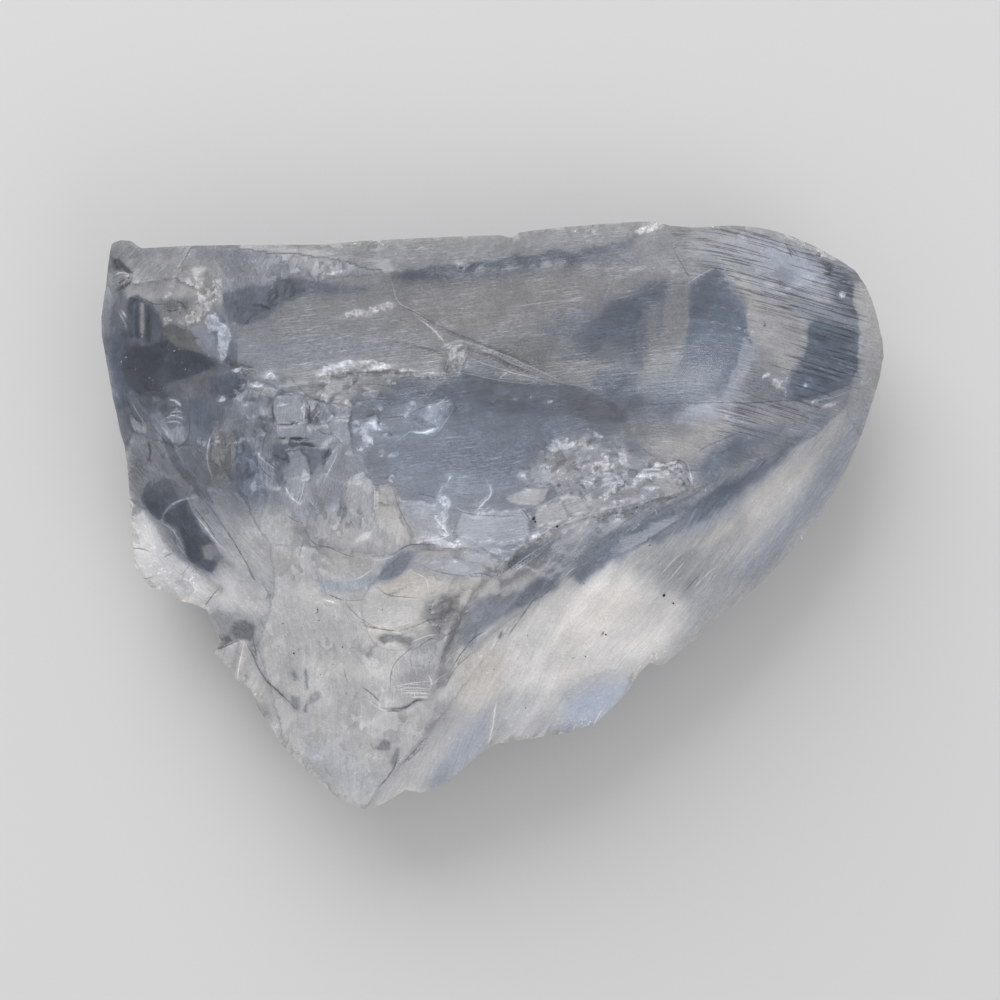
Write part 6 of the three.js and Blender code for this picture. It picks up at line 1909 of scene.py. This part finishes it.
# painted light and shade: each small break is lighter on its higher side, by its tilt
shade = shade + chips * (broad_light * 0.16 + broad_tilt_and_shade * 0.26)
shade = shade + ramp(chips, 0.25, 0.8) * (small_light * 0.14 + small_tilt_and_shade * 0.3)
thin_hairs = hairs * ramp(cloud, 0.42, 0.6) * ramp(chips, 0.32, 0.1)
shade = shade + thin_hairs * 0.1 - comb * steps * 0.2 + flecks * 0.06
shade = shade + crushed * ((crystal - 0.5) * 0.14 + (grain - 0.5) * 0.4 + 0.04)
shade = shade * (1 - crack * 0.34) + glint * 0.2
light = (shade ** 2.2) * GAIN
hue = petalite.blend(warm * 0.45 + 0.61 + (tone - 0.6) * 0.5, COOL, CREAM)
milky_colour = petalite.tinted(hue, light)
clear_colour = petalite.tinted(hue, shade * 0.9 + 0.35)
relief = petalite.node("ShaderNodeBump", {}, {
    "Strength": 0.6, "Distance": 0.05 * MM,
    "Height": silk * 0.6 + fine * 0.35 + chips * (small_tilt_and_shade * 1.5 + broad_tilt_and_shade * 2.5) - comb * steps * 0.5
    + frost * crystal * 0.35,
})
clear = petalite.node("ShaderNodeBsdfPrincipled", {}, {
    "Base Color": clear_colour, "Roughness": crushed * 0.4 + 0.14, "Transmission Weight": 1.0, "IOR": 1.51,
    "Normal": relief,
})
milky = petalite.node("ShaderNodeBsdfPrincipled", {}, {
    "Base Color": milky_colour, "Roughness": crushed * 0.2 + 0.24, "IOR": 1.51, "Normal": relief,
})
mixed = petalite.node("ShaderNodeMixShader", {}, {0: milk, 1: clear, 2: milky})
mesh.materials.append(petalite.end(mixed))
print("petalite:", len(petalite.tree.nodes), "nodes")
# %% [markdown]
# ## Grains sealed in the stone
#
# Dark grains of another mineral sit in the milky stone and just show at its surface, and pale flakes
# float under the surface of the clear window. One Geometry Nodes tree makes both: it sets a rough
# pebble on every point of a small cloud, turns and stretches each by chance, and joins them. A point
# is placed by looking down from the eye at the stone and going a little way in.

# %% A tree that sets pebbles on points
def pebble_tree():
    tree = bpy.data.node_groups.new("pebbles_on_points", "GeometryNodeTree")
    for name, kind in (("Points", "Geometry"), ("Smallest", "Float"), ("Largest", "Float"), ("Seed", "Int"),
                       ("Finish", "Material")):
        tree.interface.new_socket(name=name, in_out="INPUT", socket_type="NodeSocket" + kind)
    tree.interface.new_socket(name="Pebbles", in_out="OUTPUT", socket_type="NodeSocketGeometry")
    given = tree.nodes.new("NodeGroupInput")
    result = tree.nodes.new("NodeGroupOutput")
    pebble = tree.nodes.new("GeometryNodeMeshIcoSphere")
    pebble.inputs["Radius"].default_value = 1.0
    pebble.inputs["Subdivisions"].default_value = 2
    stretch = tree.nodes.new("FunctionNodeRandomValue")
    spin = tree.nodes.new("FunctionNodeRandomValue")
    stretch.data_type = spin.data_type = "FLOAT_VECTOR"
    spin.inputs["Max"].default_value = (2 * math.pi,) * 3
    size = tree.nodes.new("GeometryNodeInputNamedAttribute")
    size.inputs["Name"].default_value = "size"
    scaled = tree.nodes.new("ShaderNodeVectorMath")
    scaled.operation = "SCALE"
    placed = tree.nodes.new("GeometryNodeInstanceOnPoints")
    joined = tree.nodes.new("GeometryNodeRealizeInstances")
    coated = tree.nodes.new("GeometryNodeSetMaterial")
    for out, into in (
        (given.outputs["Smallest"], stretch.inputs["Min"]), (given.outputs["Largest"],
          stretch.inputs["Max"]),
        (given.outputs["Seed"], stretch.inputs["Seed"]), (given.outputs["Seed"], spin.inputs["Seed"]),
        (stretch.outputs["Value"], scaled.inputs[0]), (size.outputs["Attribute"], scaled.inputs["Scale"]),
        (given.outputs["Points"], placed.inputs["Points"]), (pebble.outputs["Mesh"],
          placed.inputs["Instance"]),
        (spin.outputs["Value"], placed.inputs["Rotation"]), (scaled.outputs["Vector"],
          placed.inputs["Scale"]),
        (placed.outputs["Instances"], joined.inputs["Geometry"]), (joined.outputs["Geometry"],
          coated.inputs["Geometry"]),
        (given.outputs["Finish"], coated.inputs["Material"]), (coated.outputs["Geometry"],
          result.inputs["Pebbles"]),
    ):
        tree.links.new(out, into)
    return tree


def set_pebbles(name, tree, spots, choices):
    cloud = bpy.data.meshes.new(name)
    cloud.from_pydata([place for place, size in spots], [], [])
    cloud.attributes.new("size", "FLOAT", "POINT").data.foreach_set("value", [size * MM for place,
      size in spots])
    piece = bpy.data.objects.new(name, cloud)
    bpy.context.scene.collection.objects.link(piece)
    modifier = piece.modifiers.new("pebbles", "NODES")
    modifier.node_group = tree
    sockets = {item.name: item.identifier for item in tree.interface.items_tree if item.in_out == "INPUT"}
    for choice, value in choices.items():
        modifier[sockets[choice]] = value
    ready = piece.evaluated_get(bpy.context.evaluated_depsgraph_get())
    made = bpy.data.meshes.new_from_object(ready)
    piece.modifiers.clear()
    piece.data = made
    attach(piece, "root")
    print(name + ":", len(spots), "pebbles,", len(made.polygons), "triangles")
    return piece


# %% Dark grains and pale flakes
stone_tree = BVHTree.FromObject(stone, bpy.context.evaluated_depsgraph_get())
eye = Vector(EYE) * MM


def looked_at(at, depth):
    sight = (Vector((*at, DRAWN_AT)) * MM - eye).normalized()
    hit = stone_tree.ray_cast(eye, sight)[0]
    return hit + sight * depth * MM if hit else None


def plain_finish(name, colour, roughness):
    finish = Finish(name)
    return finish.end(finish.node("ShaderNodeBsdfPrincipled", {}, {"Base Color": colour,
      "Roughness": roughness}))


chance = random.Random(11)
DARK_GRAINS = [
    ((2.6, -0.1), 0.13), ((2.7, -0.3), 0.12), ((4.1, -0.6), 0.08), ((9.2, 0.6), 0.06), ((8.9, 0.2), 0.05),
    ((10.9, -5), 0.1), ((11.5, -5.5), 0.08), ((7.2, -7.5), 0.06), ((5.1, -9), 0.045), ((5.9, -8.9), 0.045),
    ((-13.4, -6.8), 0.06), ((-11.2, -5.9), 0.06), ((-12.7, -8.7), 0.05), ((-11.1, -6.6), 0.04),
    ((-9.6, -8.3), 0.04), ((-10.2, -9.4), 0.04), ((17.3, 12.2), 0.05), ((10, -1.8), 0.05),
    ((-4, -5.9), 0.05),
]
PALE_FLAKES = [
    ((-23.7, 9.9), 0.07), ((-22.8, 9.4), 0.08), ((-21.9, 8.9), 0.06), ((-21.7, 8.7), 0.07),
    ((-21, 8.2), 0.07), ((-20.3, 10.6), 0.06), ((-20, 10.7), 0.05), ((-18.1, 10.3), 0.06),
    ((-20.9, 9.1), 0.05), ((-23.4, 10.2), 0.06), ((-19.6, 9.4), 0.05), ((-9.4, 7.2), 0.06),
]
dark_spots = [(looked_at(at, 0.0), size) for at, size in DARK_GRAINS]
pale_spots = [(looked_at(at, 0.05), size) for at, size in PALE_FLAKES]
for _ in range(50):
    dark_spots.append((looked_at((chance.uniform(-14, 8), chance.uniform(-16, -4)), 0.0),
      chance.uniform(0.015, 0.035)))
    pale_spots.append((looked_at((chance.uniform(-23, -17), chance.uniform(-2, 13)), chance.uniform(0.05,
      0.8)),
                       chance.uniform(0.02, 0.05)))
pebbles = pebble_tree()
for name, spots, choices in (
    ("dark_grains", dark_spots, {"Smallest": 0.5, "Largest": 1.3, "Seed": 4,
                                 "Finish": plain_finish("dark_grain", (0.012, 0.011, 0.01, 1), 0.4)}),
    ("pale_flakes", pale_spots, {"Smallest": 0.3, "Largest": 1.4, "Seed": 9,
                                 "Finish": plain_finish("pale_flake", (0.72, 0.75, 0.8, 1), 0.35)}),
):
    set_pebbles(name, pebbles, [(place, size) for place, size in spots if place], choices)
# %% [markdown]
# ## Floor, light and camera
#
# A pale floor, a soft light from behind and above, and a camera that looks straight down.

# %% Floor, light and camera
def area_light(name, place, aim, size, power):
    data = bpy.data.lights.new(name, "AREA")
    data.shape, data.size, data.energy = "DISK", size, power
    lamp = bpy.data.objects.new(name, data)
    lamp.location = place
    lamp.rotation_euler = (Vector(aim) - Vector(place)).to_track_quat("-Z", "Y").to_euler()
    bpy.context.scene.collection.objects.link(lamp)
    return lamp


area_light("key", (-0.16, 0.42, 0.3), (0, 0, 0), 0.5, 2.2)
area_light("fill", (0.25, -0.25, 0.4), (0, 0, 0), 0.4, 0.4)
world = bpy.data.worlds.new("studio")
world.use_nodes = True
world.node_tree.nodes["Background"].inputs["Color"].default_value = (0.87, 0.87, 0.875, 1)
world.node_tree.nodes["Background"].inputs["Strength"].default_value = 0.75
bpy.context.scene.world = world

FLOOR_GAP = 0.05
FLOOR_HALF = 3.0
floor_mesh = bpy.data.meshes.new("floor")
FLOOR_SIGNS = [(-1, -1), (1, -1), (1, 1), (-1, 1)]
floor_corners = [(FLOOR_HALF * across, FLOOR_HALF * along) for across, along in FLOOR_SIGNS]
floor_mesh.from_pydata([(*corner, -FLOOR_GAP * MM) for corner in floor_corners], [], [(0, 1, 2, 3)])
floor = bpy.data.objects.new("floor", floor_mesh)
bpy.context.scene.collection.objects.link(floor)
paint = Finish("floor_paint")
floor_mesh.materials.append(paint.end(paint.node("ShaderNodeBsdfPrincipled", {}, {
    "Base Color": (0.62, 0.62, 0.62, 1), "Roughness": 0.9,
})))

camera_data = bpy.data.cameras.new("camera")
camera_data.lens, camera_data.sensor_width = 100.0, 36.0
camera_data.clip_start, camera_data.clip_end = 0.01, 10.0
camera = bpy.data.objects.new("camera", camera_data)
camera.location = Vector(EYE) * MM
bpy.context.scene.collection.objects.link(camera)
bpy.context.scene.camera = camera
bpy.context.scene.view_settings.view_transform = "Standard"
bpy.context.scene.cycles.transmission_bounces = 12
bpy.context.scene.cycles.max_bounces = 12
bpy.context.scene.cycles.sample_clamp_indirect = 4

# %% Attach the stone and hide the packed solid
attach(stone, "root")
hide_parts("petalite_stone")
